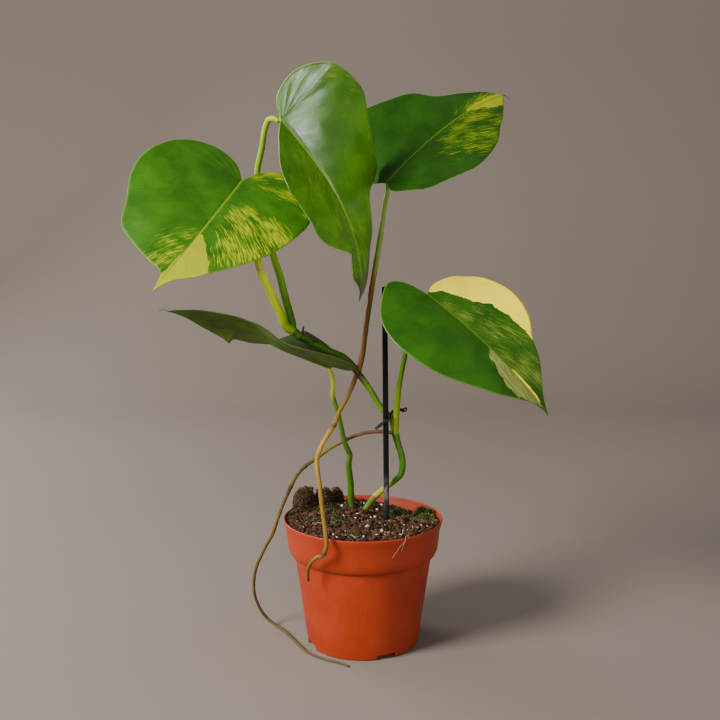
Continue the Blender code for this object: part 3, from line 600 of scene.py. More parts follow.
def leaf_look(name, shades, gloss=0.42, grain=1.0, index=1.30, lean=0.2, seed=0.0):
    """Skin of a blade: green, with threads of yellow along its veins, solid patches, a pale midrib and rim,
    and a duller underside. The grain sets how fine the threads are, and the lean how they slant."""
    look = Look(name, Subsurface_Weight=0.08, Subsurface_Scale=0.0010, IOR=index)
    look.shader.inputs["Subsurface Radius"].default_value = (0.5, 1.0, 0.05)
    vein = look.add("VectorMath", {0: look.attribute("vein", "Vector"), 1: (seed, 0, seed)}, operation="ADD")
    blade = look.attribute("blade", "Vector")
    run, up_vein, half = (look.part(vein, k) for k in range(3))
    leaning = look.math("SUBTRACT", run, look.scaled(up_vein, lean))
    leaning = look.add("CombineXYZ", {0: leaning, 1: up_vein, 2: half})
    clouds = look.noise(blade, 0.040, 3, 0.55)
    lateral, minor = side_veins(look, run, blade)

    fine = look.remap(look.noise(vein, (1.6, 0.35, 1), 4, 0.6), 0.35, 0.75, 0.0, 0.28)
    colour = look.between(clouds, 0.3, 0.7, shades["deep"], shades["bright"])
    colour = look.cover(colour, fine, shades["bright"])
    colour = look.cover(colour, lateral, shades["rib"], 0.09)
    colour = look.cover(colour, minor, shades["rib"], 0.04)

    threads = look.noise(leaning, (1.15 * grain, 0.085 * grain, 1), 4, 0.62, 0.3)
    threads = look.math("ADD", threads, look.scaled(look.attribute("streak"), STREAK_PULL))
    soft, hard = look.remap(threads, *SOFT_THREADS), look.remap(threads, *HARD_THREADS)
    half_tone = tuple(0.55 * a + 0.45 * b for a, b in zip(shades["bright"], shades["yellow"]))
    colour = look.cover(colour, soft, half_tone, 0.5)
    mottle = look.noise(leaning, (0.9, 0.16, 1), 4, 0.6)
    colour = look.blend(hard, colour, look.between(mottle, 0.4, 0.62, shades["yellow"], shades["light"]))

    ragged = look.scaled(look.math("SUBTRACT", look.noise(vein, (0.5, 0.12, 1), 5, 0.65), 0.5), 2.2)
    flecks = look.remap(look.noise(leaning, (1.6, 0.11, 1), 4, 0.6), 0.47, 0.53)
    for key, green_flecks in GREEN_FLECKS.items():
        if key not in shades:
            continue
        inside = look.remap(look.math("ADD", look.attribute(key), ragged), -0.06, 0.06)
        inside = look.math("MULTIPLY", inside, look.math("SUBTRACT", 1.0, look.scaled(flecks, green_flecks)))
        duller = [0.93 * v for v in shades[key]]
        colour = look.blend(inside, colour, look.between(mottle, 0.3, 0.7, shades[key], duller))

    along_rib = look.remap(look.attribute("midrib"), 0.25, 0.95, 1.0, 0.0)
    at_rim = look.remap(look.attribute("edge"), 0.1, 0.8, 1.0, 0.0)
    colour = look.cover(colour, along_rib, shades["rib"], 0.8)
    colour = look.cover(colour, at_rim, shades.get("rim", shades["rib"]), 0.7)

    dull = look.between(clouds, 0.3, 0.7, shades["under_deep"], shades["under_bright"])
    dull = look.cover(dull, lateral, shades["rib"], 0.3)
    dull = look.cover(dull, hard, shades["yellow"], 0.4)
    dull = look.cover(dull, along_rib, shades["rib"], 0.7)
    under = look.remap(look.attribute("under"), 0.35, 0.65)
    colour = look.blend(under, colour, dull)
    dust = look.remap(look.noise(blade, 1.3, 3, 0.6), 0.70, 0.74)
    colour = look.cover(colour, dust, (190, 205, 160), 0.12)

    rough = look.remap(clouds, 0.3, 0.7, gloss - 0.04, gloss + 0.06)
    rough = look.math("ADD", rough, look.scaled(under, 0.2))
    normal = look.bump(look.noise(vein, (0.45, 0.08, 1), 3, 0.5), 0.0006, 0.22)
    normal = look.bump(look.noise(blade, 2.6, 2, 0.5), 0.0001, 0.2, normal)
    return look.finish(colour, rough, normal)


GREEN_UNDER = dict(under_deep=(74, 108, 20), under_bright=(98, 130, 30))
LEAF_SHADES = {
    "leaf_left": dict(
        deep=(40, 100, 0), bright=(68, 134, 0), yellow=(166, 184, 0), light=(196, 206, 0),
        patch=(196, 204, 0), rib=(158, 182, 14), **GREEN_UNDER,
    ),
    "leaf_top": dict(
        deep=(68, 136, 0), bright=(106, 176, 0), yellow=(160, 206, 0), light=(188, 220, 0),
        rib=(216, 238, 30), rim=(220, 222, 150), under_deep=(84, 132, 8),
        under_bright=(118, 168, 14),
    ),
    "leaf_right_high": dict(
        deep=(24, 70, 0), bright=(38, 92, 0), yellow=(118, 144, 0), light=(158, 174, 16),
        patch=(180, 188, 10), rib=(108, 146, 10), **GREEN_UNDER,
    ),
    "leaf_right_low": dict(
        deep=(34, 92, 0), bright=(54, 120, 0), yellow=(122, 156, 20), light=(186, 202, 84),
        patch=(352, 314, 50), pale=(240, 240, 124), rib=(136, 162, 20), **GREEN_UNDER,
    ),
    "leaf_low": dict(
        deep=(34, 62, 8), bright=(52, 84, 12), yellow=(120, 150, 40), light=(140, 160, 40),
        rib=(124, 144, 50), under_deep=(80, 118, 20), under_bright=(122, 166, 44),
    ),
}
LEAF_SKINS = {
    "leaf_left": dict(seed=3.0),
    "leaf_top": dict(gloss=0.25, index=1.42, lean=0.5, seed=17.0),
    "leaf_right_high": dict(grain=1.1, index=1.24, lean=0.45, seed=31.0),
    "leaf_right_low": dict(grain=1.2, lean=1.0, seed=45.0),
    "leaf_low": dict(seed=60.0),
}
LEAF_SLOTS = {"leaf_top": "leaf", "leaf_low": "leaf"}
STALK_SEAT = 0.4


# Stems, roots, stake and tie

RING_SWELL = 0.45
RING_DIP = 0.16
RING_DIP_AT = 1.1
RING_DIP_WIDTH = 0.3
GROUND_GAP = 0.1
CAP_TURNS = (88.0, 62.0, 34.0)  # where the rings of a rounded end stand, in degrees
CAP_REACH = 0.6  # how far a rounded end reaches, against its radius
# Routes as x, y, z and radius, and the heights of the points that have a ring
MAIN_STEM = [
    (-3.0, 16.0, 82.0, 2.3), (-1.5, 15.0, 89.0, 2.3), (0.7, 14.0, 95.9, 2.3), (4.6, 13.5, 102.5, 2.35),
    (10.0, 12.0, 109.5, 2.4), (17.0, 9.0, 116.7, 2.3), (23.2, 7.0, 122.1, 2.35), (28.5, 6.0, 127.9, 2.4),
    (30.0, 5.5, 135.2, 2.4), (29.2, 5.5, 142.4, 2.4), (26.9, 5.5, 150.3, 2.5), (24.5, 5.5, 158.9, 2.6),
    (23.0, 6.0, 165.4, 2.4), (20.0, 6.4, 172.1, 2.3), (13.6, 6.4, 179.3, 2.25), (9.0, 6.0, 187.0, 2.2),
    (3.7, 5.0, 195.8, 2.25), (-3.8, 4.0, 206.1, 2.5), (-9.7, 3.0, 214.0, 2.5), (-15.7, 2.0, 219.0, 2.6),
    (-21.6, 1.0, 221.6, 2.65), (-27.0, 0.5, 223.8, 2.7), (-38.2, -1.0, 230.1, 2.9),
    (-46.5, -2.0, 234.7, 3.0), (-51.0, -2.4, 238.6, 2.8),
]
MAIN_STEM_RINGS = (109.5, 158.9, 206.1, 231.0, 234.7)
STALK_LEFT = [
    (-51.2, -2.5, 238.0, 3.2), (-56.0, -3.2, 241.5, 3.2), (-60.3, -4.4, 251.5, 3.2),
    (-65.3, -5.2, 262.1, 3.15), (-70.3, -5.8, 273.4, 3.1), (-74.5, -6.5, 283.1, 3.15),
    (-76.6, -7.0, 290.5, 2.9), (-79.4, -7.5, 305.2, 2.35), (-81.8, -7.8, 323.0, 2.15),
    (-84.6, -8.0, 336.0, 1.9), (-86.6, -9.4, 342.8, 1.8),
]
STALK_TOP = [
    (-51.2, -2.0, 238.6, 2.8), (-53.1, 0.8, 247.1, 2.9), (-55.4, 2.2, 255.0, 2.9),
    (-58.4, 3.4, 266.0, 2.85), (-61.4, 4.5, 278.6, 2.8), (-65.1, 5.5, 289.8, 2.65),
    (-69.8, 6.0, 308.4, 2.5), (-73.9, 6.0, 326.5, 2.35), (-76.4, 5.0, 344.0, 2.25),
    (-76.6, 3.0, 353.5, 2.15), (-72.4, -2.0, 371.2, 2.1), (-69.0, -7.0, 385.8, 2.05),
    (-66.4, -9.6, 389.9, 2.1), (-62.9, -11.3, 390.2, 2.1),
]
STALK_RIGHT_HIGH = [
    (-3.8, 4.0, 206.1, 2.2), (-1.6, 6.4, 214.4, 2.2), (2.4, 16.0, 241.0, 2.1), (7.1, 27.0, 270.2, 2.05),
    (13.1, 40.0, 304.4, 2.0), (17.4, 50.5, 333.0, 1.9), (19.2, 54.0, 342.0, 1.8),
]
STALK_RIGHT_LOW = [
    (24.5, 5.5, 158.9, 2.4), (24.2, 4.2, 167.8, 2.8), (25.0, 3.0, 177.5, 2.6), (25.8, 1.0, 185.6, 2.25),
    (26.7, -1.5, 196.9, 2.1), (28.4, -4.2, 208.1, 2.0), (30.0, -6.0, 217.5, 1.9), (33.0, -7.0, 230.4, 1.85),
    (37.3, -7.5, 243.7, 1.75), (41.5, -8.0, 254.5, 1.65), (43.8, -8.6, 261.0, 1.6),
]
STALK_LOW = [
    (-6.6, 28.0, 82.0, 2.5), (-7.8, 26.4, 90.0, 2.55), (-8.9, 25.0, 97.5, 2.6), (-9.6, 20.5, 117.7, 2.45),
    (-11.0, 15.5, 135.1, 2.35), (-10.2, 13.2, 141.2, 2.25), (-12.9, 10.5, 148.9, 2.0),
    (-14.8, 8.5, 155.9, 1.9), (-17.1, 5.5, 167.5, 1.8), (-20.7, 1.0, 183.3, 1.75), (-22.2, 0.0, 187.3, 1.8),
    (-22.2, -3.0, 197.9, 1.55), (-23.0, -5.2, 206.0, 1.6),
]
ROOT_FRONT = [
    (-3.8, 4.0, 206.1, 1.6), (-5.4, 0.8, 203.6, 1.75), (-8.2, -2.0, 197.0, 1.7), (-12.0, -5.0, 189.0, 1.65),
    (-17.2, -8.0, 179.7, 1.65), (-21.7, -11.0, 169.5, 1.85), (-26.1, -14.0, 162.5, 1.7),
    (-30.6, -17.0, 155.5, 1.7), (-33.5, -21.0, 147.3, 1.7), (-33.3, -26.0, 140.9, 1.65),
    (-31.6, -33.0, 132.2, 1.6), (-29.8, -43.0, 119.9, 1.6), (-28.0, -53.0, 110.9, 1.55),
    (-26.3, -59.5, 101.6, 1.55), (-25.9, -61.4, 93.8, 1.5), (-27.7, -60.8, 88.2, 1.65),
    (-33.1, -58.0, 84.1, 1.4), (-37.3, -54.5, 78.9, 1.35), (-39.2, -51.5, 73.9, 1.2),
    (-39.3, -49.0, 64.0, 0.8),
]
ROOT_FRONT_RINGS = (169.5, 88.2)
ROOT_LONG = [
    (24.1, 5.7, 159.6, 1.3), (20.4, 7.0, 160.2, 1.35), (14.9, 8.5, 160.5, 1.35), (9.1, 10.0, 160.1, 1.35),
    (4.1, 11.5, 159.4, 1.35), (-3.7, 13.5, 156.9, 1.35), (-12.3, 15.5, 153.3, 1.5),
    (-20.1, 14.5, 149.1, 1.35), (-27.8, 12.0, 144.8, 1.35), (-35.5, 9.0, 139.5, 1.35),
    (-43.9, 6.0, 134.3, 1.5), (-50.1, 4.0, 127.7, 1.35), (-54.6, 2.0, 119.5, 1.6),
    (-58.5, 1.0, 111.0, 1.35), (-61.7, 0.5, 103.1, 1.35), (-64.8, 0.0, 94.5, 1.3), (-68.6, 1.0, 82.9, 1.3),
    (-73.8, 3.0, 73.2, 1.25), (-78.0, 5.0, 64.3, 1.25), (-81.7, 8.0, 55.5, 1.25), (-84.7, 12.0, 41.9, 1.25),
    (-85.1, 15.0, 32.7, 1.2), (-83.3, 18.5, 21.5, 1.2), (-80.2, 20.5, 13.5, 1.2), (-75.3, 21.5, 6.5, 1.15),
    (-68.2, 19.0, 1.5, 1.1), (-59.2, 5.7, 1.2, 1.05), (-50.1, -13.0, 1.2, 1.0), (-41.6, -28.8, 1.2, 0.95),
    (-32.7, -37.5, 1.2, 0.9), (-23.2, -44.0, 1.2, 0.85), (-15.6, -48.3, 1.2, 0.8),
    (-11.0, -52.4, 1.2, 0.75),
]
ROOT_LONG_RINGS = (153.3, 134.3, 119.5)
STAKE = [(18.7, 0.0, 34.0, 2.1), (17.9, 0.0, 94.7, 2.1), (15.7, 0.0, 269.9, 2.05)]
TIE = [
    (9.3, -1.5, 164.8, 0.5), (12.6, -2.6, 167.8, 0.5), (15.6, -3.1, 170.2, 0.5), (18.4, -2.6, 171.7, 0.5),
    (20.2, -0.6, 173.0, 0.5), (20.6, 2.4, 174.8, 0.5), (23.6, 6.6, 177.0, 0.5), (28.6, 7.6, 177.4, 0.5),
    (31.0, 6.6, 177.0, 0.5),
]
# The tie: a strip on edge with a square clasp
TIE_CORNERS = np.array(
    [(1, 0.6), (0.8, 1), (-0.8, 1), (-1, 0.6), (-1, -0.6), (-0.8, -1), (0.8, -1), (1, -0.6)]
)
TIE_HALF_HEIGHT = 1.15
TIE_HALF_WAVE = 0.12
TIE_HALF_THICKNESS = 0.38
CLASP_OFFSET = (0.2, 0.2, 0.6)
CLASP_HALF = (1.5, 1.1)
CLASP_SLANT = 0.5
CLASP_SQUARE = 0.9  # 0 for a round clasp, 1 for a square one
# Dry ends: the steps of a thread from the leaf's tip, its radius and its slot
TIP_THREADS = {
    "leaf_right_high": (
        ((0.0, 0.0, 0.0), (2.0, -0.4, -0.6), (3.8, -0.8, -2.2), (5.0, -1.0, -3.6)), 0.34, "leaf_variegated",
    ),
    "leaf_low": (((0.0, 0.0, 0.0), (-2.4, 0.0, 0.4), (-4.6, 0.0, 0.5), (-6.6, 0.0, -0.3)), 0.32, "leaf"),
}
TIP_OVERLAP = 1.2
TIP_TAPER = 0.18
DRY_STUB = [
    (-44.6, -4.0, 236.6, 1.15), (-44.4, -4.3, 238.6, 1.0), (-44.0, -4.4, 240.6, 0.8),
    (-43.5, -4.2, 242.2, 0.45),
]
STUB_WRINKLE = 0.22
TAN_SPOT_HEIGHT = 284.0
TAN_SPOT_SPREAD = 2.2
SHEATH_END = 292.0
SHEATH_RUN = 22.0
SHEATH_TIP = 296.0
SHEATH_TIP_RUN = 8.0
BROWN_END = -6.0  # x where the long root stops being browner, and the run over which it does
BROWN_RUN = 14.0
WEATHER_HEIGHT = 116.0
WEATHER_SPREAD = 9.0
# Main colours as heights and display colours
STEM_COLOURS = {
    "main_stem": [
        (90, (96, 132, 34)), (106, (112, 150, 40)), (108.6, (150, 140, 60)), (109.6, (206, 150, 112)),
        (110.6, (212, 214, 70)), (116, (200, 218, 40)), (119, (132, 170, 24)), (125, (76, 130, 8)),
        (140, (78, 134, 10)), (156, (82, 136, 14)), (164, (104, 150, 20)), (178, (132, 180, 30)),
        (196, (144, 190, 34)), (202, (130, 140, 50)), (205.5, (80, 52, 28)), (208, (104, 76, 36)),
        (213, (88, 110, 24)), (220, (74, 128, 8)), (229, (84, 142, 8)), (231, (54, 88, 8)),
        (235, (80, 136, 8)), (240, (74, 124, 8)),
    ],
    "stalk_left": [
        (238, (150, 190, 10)), (250, (230, 248, 10)), (280, (270, 280, 30)), (292, (200, 226, 20)),
        (320, (160, 196, 10)), (346, (150, 184, 20)),
    ],
    "stalk_top": [
        (238, (92, 148, 0)), (270, (136, 196, 0)), (300, (150, 204, 0)), (350, (156, 200, 10)),
        (375, (170, 208, 20)), (392, (206, 230, 50)),
    ],
    "stalk_right_high": [
        (206, (112, 104, 34)), (216, (112, 150, 30)), (280, (132, 172, 44)), (320, (152, 186, 66)),
        (346, (142, 178, 50)),
    ],
    "stalk_right_low": [
        (158, (172, 196, 40)), (164, (168, 196, 30)), (186, (142, 182, 10)), (215, (112, 158, 0)),
        (265, (104, 146, 0)),
    ],
    "stalk_low": [
        (90, (94, 140, 14)), (120, (90, 142, 16)), (139, (104, 148, 30)), (141, (140, 146, 50)),
        (143, (84, 130, 20)), (165, (92, 138, 26)), (184, (116, 152, 36)), (188, (168, 192, 50)),
        (200, (214, 226, 60)), (212, (196, 212, 50)),
    ],
    "aerial_root_front": [
        (62, (84, 66, 24)), (72, (126, 104, 30)), (80, (152, 122, 44)), (86, (176, 130, 60)),
        (88.5, (112, 74, 36)), (92, (158, 118, 28)), (130, (172, 132, 26)), (150, (214, 170, 40)),
        (160, (216, 180, 50)), (167, (190, 152, 44)), (169.5, (92, 62, 34)), (172, (176, 146, 34)),
        (190, (150, 128, 20)), (206, (96, 72, 24)),
    ],
    "aerial_root_long": [
        (0, (124, 98, 58)), (20, (136, 110, 62)), (60, (136, 110, 44)), (95, (132, 108, 30)),
        (112, (122, 92, 36)), (119, (96, 68, 40)), (124, (128, 112, 28)), (134, (112, 84, 32)),
        (145, (150, 140, 30)), (152, (150, 124, 44)), (153.6, (84, 56, 34)), (156, (152, 126, 50)),
        (161, (148, 104, 66)),
    ],
    "support_stake": [
        (34, (26, 36, 32)), (96, (28, 42, 40)), (104, (42, 50, 50)), (112, (84, 76, 70)),
        (120, (44, 50, 58)), (130, (6, 7, 8)), (270, (3, 4, 4)),
    ],
    "twist_tie_strip": [(160, (52, 58, 58)), (178, (44, 50, 52))],
    "twist_tie_clasp": [(160, (62, 68, 70)), (180, (70, 76, 78))],
    "leaf_tip": [(0, (98, 66, 40))],
    "dry_stub": [(236, (96, 62, 36)), (242, (150, 112, 70))],
}


def stalk_route(points, leaf, end_radius):
    """A stalk's own points and its end under its blade."""
    end = np.array(leaf["base"]) - leaf_rotation(leaf)[:, 2] * (MIDRIB_THICKNESS + STALK_SEAT)
    return [*points, (*end, end_radius)]


def smooth_route(points, spacing, rings=()):
    """Samples of a smooth curve through points of x, y, z and radius, with a swelling at each ring."""
    points = np.array(points, float)
    steps = np.linalg.norm(np.diff(points[:, :3], axis=0), axis=1)
    reach = np.concatenate([[0.0], np.cumsum(steps)])
    slopes = np.gradient(points, reach, axis=0)
    at = np.linspace(0.0, reach[-1], max(2, round(reach[-1] / spacing) + 1))
    i = np.clip(np.searchsorted(reach, at, side="right") - 1, 0, len(reach) - 2)
    gap = (reach[i + 1] - reach[i])[:, None]
    f = (at - reach[i])[:, None] / gap
    start = points[i] * (1 + 2 * f) * (1 - f) ** 2 + slopes[i] * gap * f * (1 - f) ** 2
    end = points[i + 1] * f**2 * (3 - 2 * f) + slopes[i + 1] * gap * f**2 * (f - 1)
    samples = start + end
    for height in rings:
        off = at - reach[np.abs(points[:, 2] - height).argmin()]
        dip = RING_DIP * ridge(np.abs(off) - RING_DIP_AT, RING_DIP_WIDTH)
        samples[:, 3] += RING_SWELL * ridge(off, 1.0) - dip
    samples[:, 2] = np.maximum(samples[:, 2], samples[:, 3] + GROUND_GAP)
    return samples, at


def tube(samples, sides):
    """Rings round a route with rounded ends: points, faces, and where each point is round and along it."""
    places, radii = samples[:, :3], samples[:, 3]
    forward = unit(np.gradient(places, axis=0))
    outward = [unit(np.cross(forward[0], (0.0, 0.31, 0.95)))]
    for direction in forward[1:]:
        outward.append(unit(outward[-1] - direction * (outward[-1] @ direction)))
    outward = np.array(outward)
    aside = np.cross(forward, outward)
    run = np.concatenate([[0], np.cumsum(np.linalg.norm(np.diff(places, axis=0), axis=1))])
    turns, straight = np.radians(CAP_TURNS), np.zeros(len(places))
    turns = np.concatenate([-turns, straight, turns[::-1]])
    caps = len(CAP_TURNS)
    index = np.concatenate([[0] * caps, np.arange(len(places)), [len(places) - 1] * caps])
    centres = places[index] + forward[index] * (CAP_REACH * np.sin(turns) * radii[index])[:, None]
    angles = np.linspace(0, 2 * math.pi, sides, endpoint=False)
    ring = np.stack([np.cos(angles), np.sin(angles)], axis=1)
    spokes = ring[None, :, :1] * outward[index][:, None] + ring[None, :, 1:] * aside[index][:, None]
    points = centres[:, None] + (radii[index] * np.cos(turns))[:, None, None] * spokes
    round_it = (radii[index][:, None, None] * ring).reshape(-1, 2)
    around = np.column_stack([round_it, np.repeat(run[index], sides)])
    return points.reshape(-1, 3), closed_faces(len(index), sides), around


def stops_at(stops, values):
    """Colours between stops of height and display colour, as linear light with alpha."""
    heights = [stop[0] for stop in stops]
    colours = np.array([tone(*stop[1]) for stop in stops])
    mixed = [np.interp(values, heights, colours[:, k]) for k in range(3)]
    return np.stack([*mixed, np.ones(len(values))], axis=1)


def tint_over(tint, share, shade):
    """Moves stored colours towards a display colour by a share for each point."""
    tint[:, :3] += share[:, None] * (np.array(tone(*shade)) - tint[:, :3])
    return tint


def painted_light_and_tan_spot(points, outward, tint):
    """Painted highlight: paler on the side that faces left, towards the key lamp; and a tan spot on the
    front.
    """
    left, front = (np.clip(-outward[:, k], 0, 1) for k in range(2))
    # Painted highlight: the side facing left is made paler, as if lit by the key lamp.
    tint = tint_over(tint, 0.25 * left, (226, 226, 90))
    return tint_over(tint, ridge(points[:, 2] - TAN_SPOT_HEIGHT, TAN_SPOT_SPREAD) * front, (226, 190, 140))


def sheath(points, outward, tint):
    """Dry brown on the left of the lower part, which runs out to a point higher up."""
    lean = outward[:, 0] + 0.25 * outward[:, 1]
    reach = np.clip((SHEATH_END - points[:, 2]) / SHEATH_RUN, -1, 1)
    share = np.clip((0.35 * reach - lean) * 3.0, 0, 1)
    share *= np.clip((SHEATH_TIP - points[:, 2]) / SHEATH_TIP_RUN, 0, 1)
    return tint_over(tint, share, (186, 104, 44))


def by_reach(points, outward, tint):
    """The first stretch, from the stem leftwards, is browner than the rest."""
    return tint_over(tint, np.clip((points[:, 0] - BROWN_END) / BROWN_RUN, 0, 1), (148, 98, 60))


def weathered(points, outward, tint):
    """Pale weathering in patches round one height."""
    patch = np.clip(smooth_noise(points, 4.0, 3, 2.0) + 0.35, 0, 1)
    return tint_over(tint, patch * ridge(points[:, 2] - WEATHER_HEIGHT, WEATHER_SPREAD), (150, 132, 118))


def build_stem(name, route, material, slot, rings=(), sides=22, spacing=0.9, knobs=0.05, extra=None):
    """A stem along its route with its colours stored, slightly knobbed. Its name's length seeds the knobs."""
    points, faces, around = tube(smooth_route(route, spacing, rings)[0], sides)
    middle = points.reshape(-1, sides, 3).mean(axis=1)
    outward = points - np.repeat(middle, sides, axis=0)
    swell = smooth_noise(around * (1.0, 1.0, 0.35), 2.2, 3, len(name))
    points = points + outward * (knobs * swell)[:, None]
    tint = stops_at(STEM_COLOURS[name], points[:, 2])
    if extra is not None:
        tint = extra(points, unit(outward), tint)
    return add_mesh(name + "_skin", points, faces, material, slot, [name], around=around, tint=tint)


def add_tube(name, samples, sides, colours, material, slot, wrinkle=0.0):
    """A small tube that replaces no node."""
    points, faces, around = tube(samples, sides)
    if wrinkle:
        shifts = [smooth_noise(points, 1.1, 3, seed) for seed in (2.0, 5.0, 8.0)]
        points = points + wrinkle * np.stack(shifts, axis=1)
    tint = stops_at(STEM_COLOURS[colours], points[:, 2])
    return add_mesh(name, points, faces, material, slot, around=around, tint=tint)


def stem_look(name, rough, streak, spots, shade, bump=0.00025, subsurface=0.08, pale=0.10, index=1.30):
    """Skin of a stem, whose main colour is stored at each point. The shade dims it in lines and spots."""
    look = Look(name, Subsurface_Weight=subsurface, Subsurface_Scale=0.001, IOR=index)
    look.shader.inputs["Subsurface Radius"].default_value = (1.0, 0.8, 0.3)
    around = look.attribute("around", "Vector")
    lines = look.noise(around, (1.6, 1.6, 0.10), 4, 0.6)
    streaks = look.remap(lines, 0.35, 0.7, 0.0, streak)
    colour = look.blend(streaks, look.attribute("tint", "Color"), shade, "MULTIPLY")
    marks = look.remap(look.noise(look.stretch(around, (1, 1, 0.6)), 0.9, 4, 0.65), 0.60, 0.68)
    colour = look.blend(look.scaled(marks, spots), colour, shade, "MULTIPLY")
    bloom = look.remap(look.noise(around, 0.35, 3, 0.6), 0.55, 0.75, 0.0, pale)
    colour = look.blend(bloom, colour, tone(214, 206, 120), "SCREEN")
    normal = look.bump(lines, bump, 0.7)
    normal = look.bump(look.noise(around, 2.0, 3, 0.6), bump * 0.6, 0.5, normal)
    return look.finish(colour, look.remap(lines, 0.3, 0.7, rough - 0.06, rough + 0.08), normal)


def build_tie(material):
    """The tie as a flat strip on edge, with a small square hollow clasp at its far end."""
    samples, run = smooth_route(TIE, 0.4)
    forward = unit(np.gradient(samples[:, :3], axis=0))
    tall = unit(np.array([0.0, 0.0, 1.0]) - forward * forward[:, 2:])
    thick = np.cross(forward, tall) * TIE_HALF_THICKNESS
    tall *= (TIE_HALF_HEIGHT - TIE_HALF_WAVE * np.sin(run * 1.1))[:, None]
    rows = samples[:, None, :3] + TIE_CORNERS[:, :1] * tall[:, None] + TIE_CORNERS[:, 1:] * thick[:, None]
    points = rows.reshape(-1, 3)
    faces = closed_faces(len(rows), len(TIE_CORNERS))
    around = np.column_stack([np.tile(TIE_CORNERS, (len(rows), 1)), np.repeat(run, len(TIE_CORNERS))])
    tint = stops_at(STEM_COLOURS["twist_tie_strip"], points[:, 2])
    name, slot = "twist_tie_strip", "twist_tie"
    add_mesh(name, points, faces, material, slot, ["twist_tie"], around=around, tint=tint)
    centre = np.array(TIE[-1][:3]) + CLASP_OFFSET
    ring = []
    for angle in np.radians(np.arange(0, 360, 15)):
        flat = np.array([math.cos(angle), math.sin(angle)])
        flat = flat / np.max(np.abs(flat)) ** CLASP_SQUARE
        up = CLASP_SLANT * flat[0] + CLASP_HALF[1] * flat[1]
        ring.append((centre[0] + CLASP_HALF[0] * flat[0], centre[1], centre[2] + up, TIE[-1][3]))
    ring.append(ring[0])
    add_tube("twist_tie_clasp", np.array(ring), 10, "twist_tie_clasp", material, slot)


def build_dry_ends(material):
    """The brown threads at two leaf tips and the dry stub on the highest node."""
    for name, (steps, radius, slot) in TIP_THREADS.items():
        leaf = LEAVES[name]
        tip = blade_points(leaf, *SIDES[0], np.array([0.0]), np.array([leaf["length"] - TIP_OVERLAP]))
        tip = (tip @ leaf_rotation(leaf).T)[0] + np.array(leaf["base"])
        route = [(*(tip + np.array(step)), radius * (1 - TIP_TAPER * k)) for k, step in enumerate(steps)]
        add_tube(name + "_tip", smooth_route(route, 0.3)[0], 10, "leaf_tip", material, slot)
    stub = smooth_route(DRY_STUB, 0.25)[0]
    add_tube("dry_stub", stub, 18, "dry_stub", material, "main_stem", STUB_WRINKLE)


# Each stalk's route, the radius of its end, its slot and what its colours get besides
STALKS = {
    # stalk_left gets a painted highlight down its left side, and a tan spot on its front
    "stalk_left": (STALK_LEFT, 1.6, "stalk_green", painted_light_and_tan_spot),
    "stalk_top": (STALK_TOP, 1.8, "stalk_green", None),
    "stalk_right_high": (STALK_RIGHT_HIGH, 1.6, "stalk_brown", sheath),
    "stalk_right_low": (STALK_RIGHT_LOW, 1.4, "stalk_green", None),
    "stalk_low": (STALK_LOW, 1.3, "stalk_green", None),
}


def build_stems():
    green = stem_look("stem_green", 0.45, 0.5, 0.5, (0.52, 0.58, 0.36))
    bark = stem_look("root_bark", 0.66, 0.7, 0.7, (0.46, 0.38, 0.30), 0.0004, 0.03)
    dark = stem_look("stake_skin", 0.55, 0.6, 0.5, (0.4, 0.4, 0.4), 0.0003, 0.0, 0.01, 1.22)
    build_stem("main_stem", MAIN_STEM, green, "main_stem", MAIN_STEM_RINGS)
    for name, (points, end_radius, slot, extra) in STALKS.items():
        leaf = LEAVES[name.replace("stalk", "leaf")]
        build_stem(name, stalk_route(points, leaf, end_radius), green, slot, extra=extra)
    root = bark, "aerial_root"
    build_stem("aerial_root_front", ROOT_FRONT, *root, ROOT_FRONT_RINGS, 18, knobs=0.08)
    build_stem("aerial_root_long", ROOT_LONG, *root, ROOT_LONG_RINGS, 14, knobs=0.09, extra=by_reach)
    build_stem("support_stake", STAKE, dark, "support_stake", (), 32, 1.2, 0.02, weathered)
    build_tie(dark)
    build_dry_ends(bark)


# Pot

POT_OUTSIDE = [
    (60.0, 95.4), (59.4, 93.2), (58.2, 89.0), (56.9, 76.5), (56.1, 72.8), (54.4, 70.0), (52.2, 68.9),
    (51.6, 67.0), (47.2, 36.0), (42.4, 1.0),
]
POT_BAND = [
    (60.0, 95.9), (59.85, 94.9), (59.4, 93.2), (58.75, 91.0), (58.2, 89.0), (57.55, 83.0), (56.95, 77.0),
    (56.6, 74.6), (56.0, 72.7), (55.2, 71.0), (54.2, 69.8), (53.0, 69.1), (52.3, 68.85), (51.95, 68.4),
    (51.8, 67.6), (51.6, 66.6),
]
POT_FOOT = [(42.5, 2.2), (42.4, 1.3), (42.2, 0.6), (41.9, 0.18), (41.4, 0.0)]
POT_HEIGHT = 96.6
POT_WALL = 1.2
POT_FLOOR = 1.6
POT_FOOT_RADIUS = 41.6
POT_TURNS = 224
LIP_REACH = 59.4
AXIS_GAP = 0.02  # radius of the pinholes at the axis, which are filled
FLOOR_ROUND = 0.4
GAP = 0.35
DRAIN_NOTCHES = 4
DRAIN_NOTCH_ANGLE = 23.5 - 90.0
DRAIN_NOTCH = (9.0, 15.0, 4.2)
DRAIN_NOTCH_ROUND = 1.6


def offset_profile(profile, distance):
    """The profile moved towards the axis by a distance, measured square to its own run."""
    run = unit(np.gradient(np.array(profile, float), axis=0))
    inward = np.stack([run[:, 1], -run[:, 0]], axis=1)
    return np.array(profile, float) + inward * distance


def wall_radius(profile, height):
    rising = np.asarray(profile)[::-1]
    return np.interp(height, rising[:, 1], rising[:, 0])


def lathe(profile, turns):
    angles = np.linspace(0, 2 * math.pi, turns, endpoint=False)
    profile = np.asarray(profile, float)
    x = profile[:, :1] * np.cos(angles)
    y = profile[:, :1] * np.sin(angles)
    z = np.repeat(profile[:, 1:], turns, axis=1)
    return np.stack([x, y, z], axis=2).reshape(-1, 3), grid_faces(len(profile), turns, closed=True)


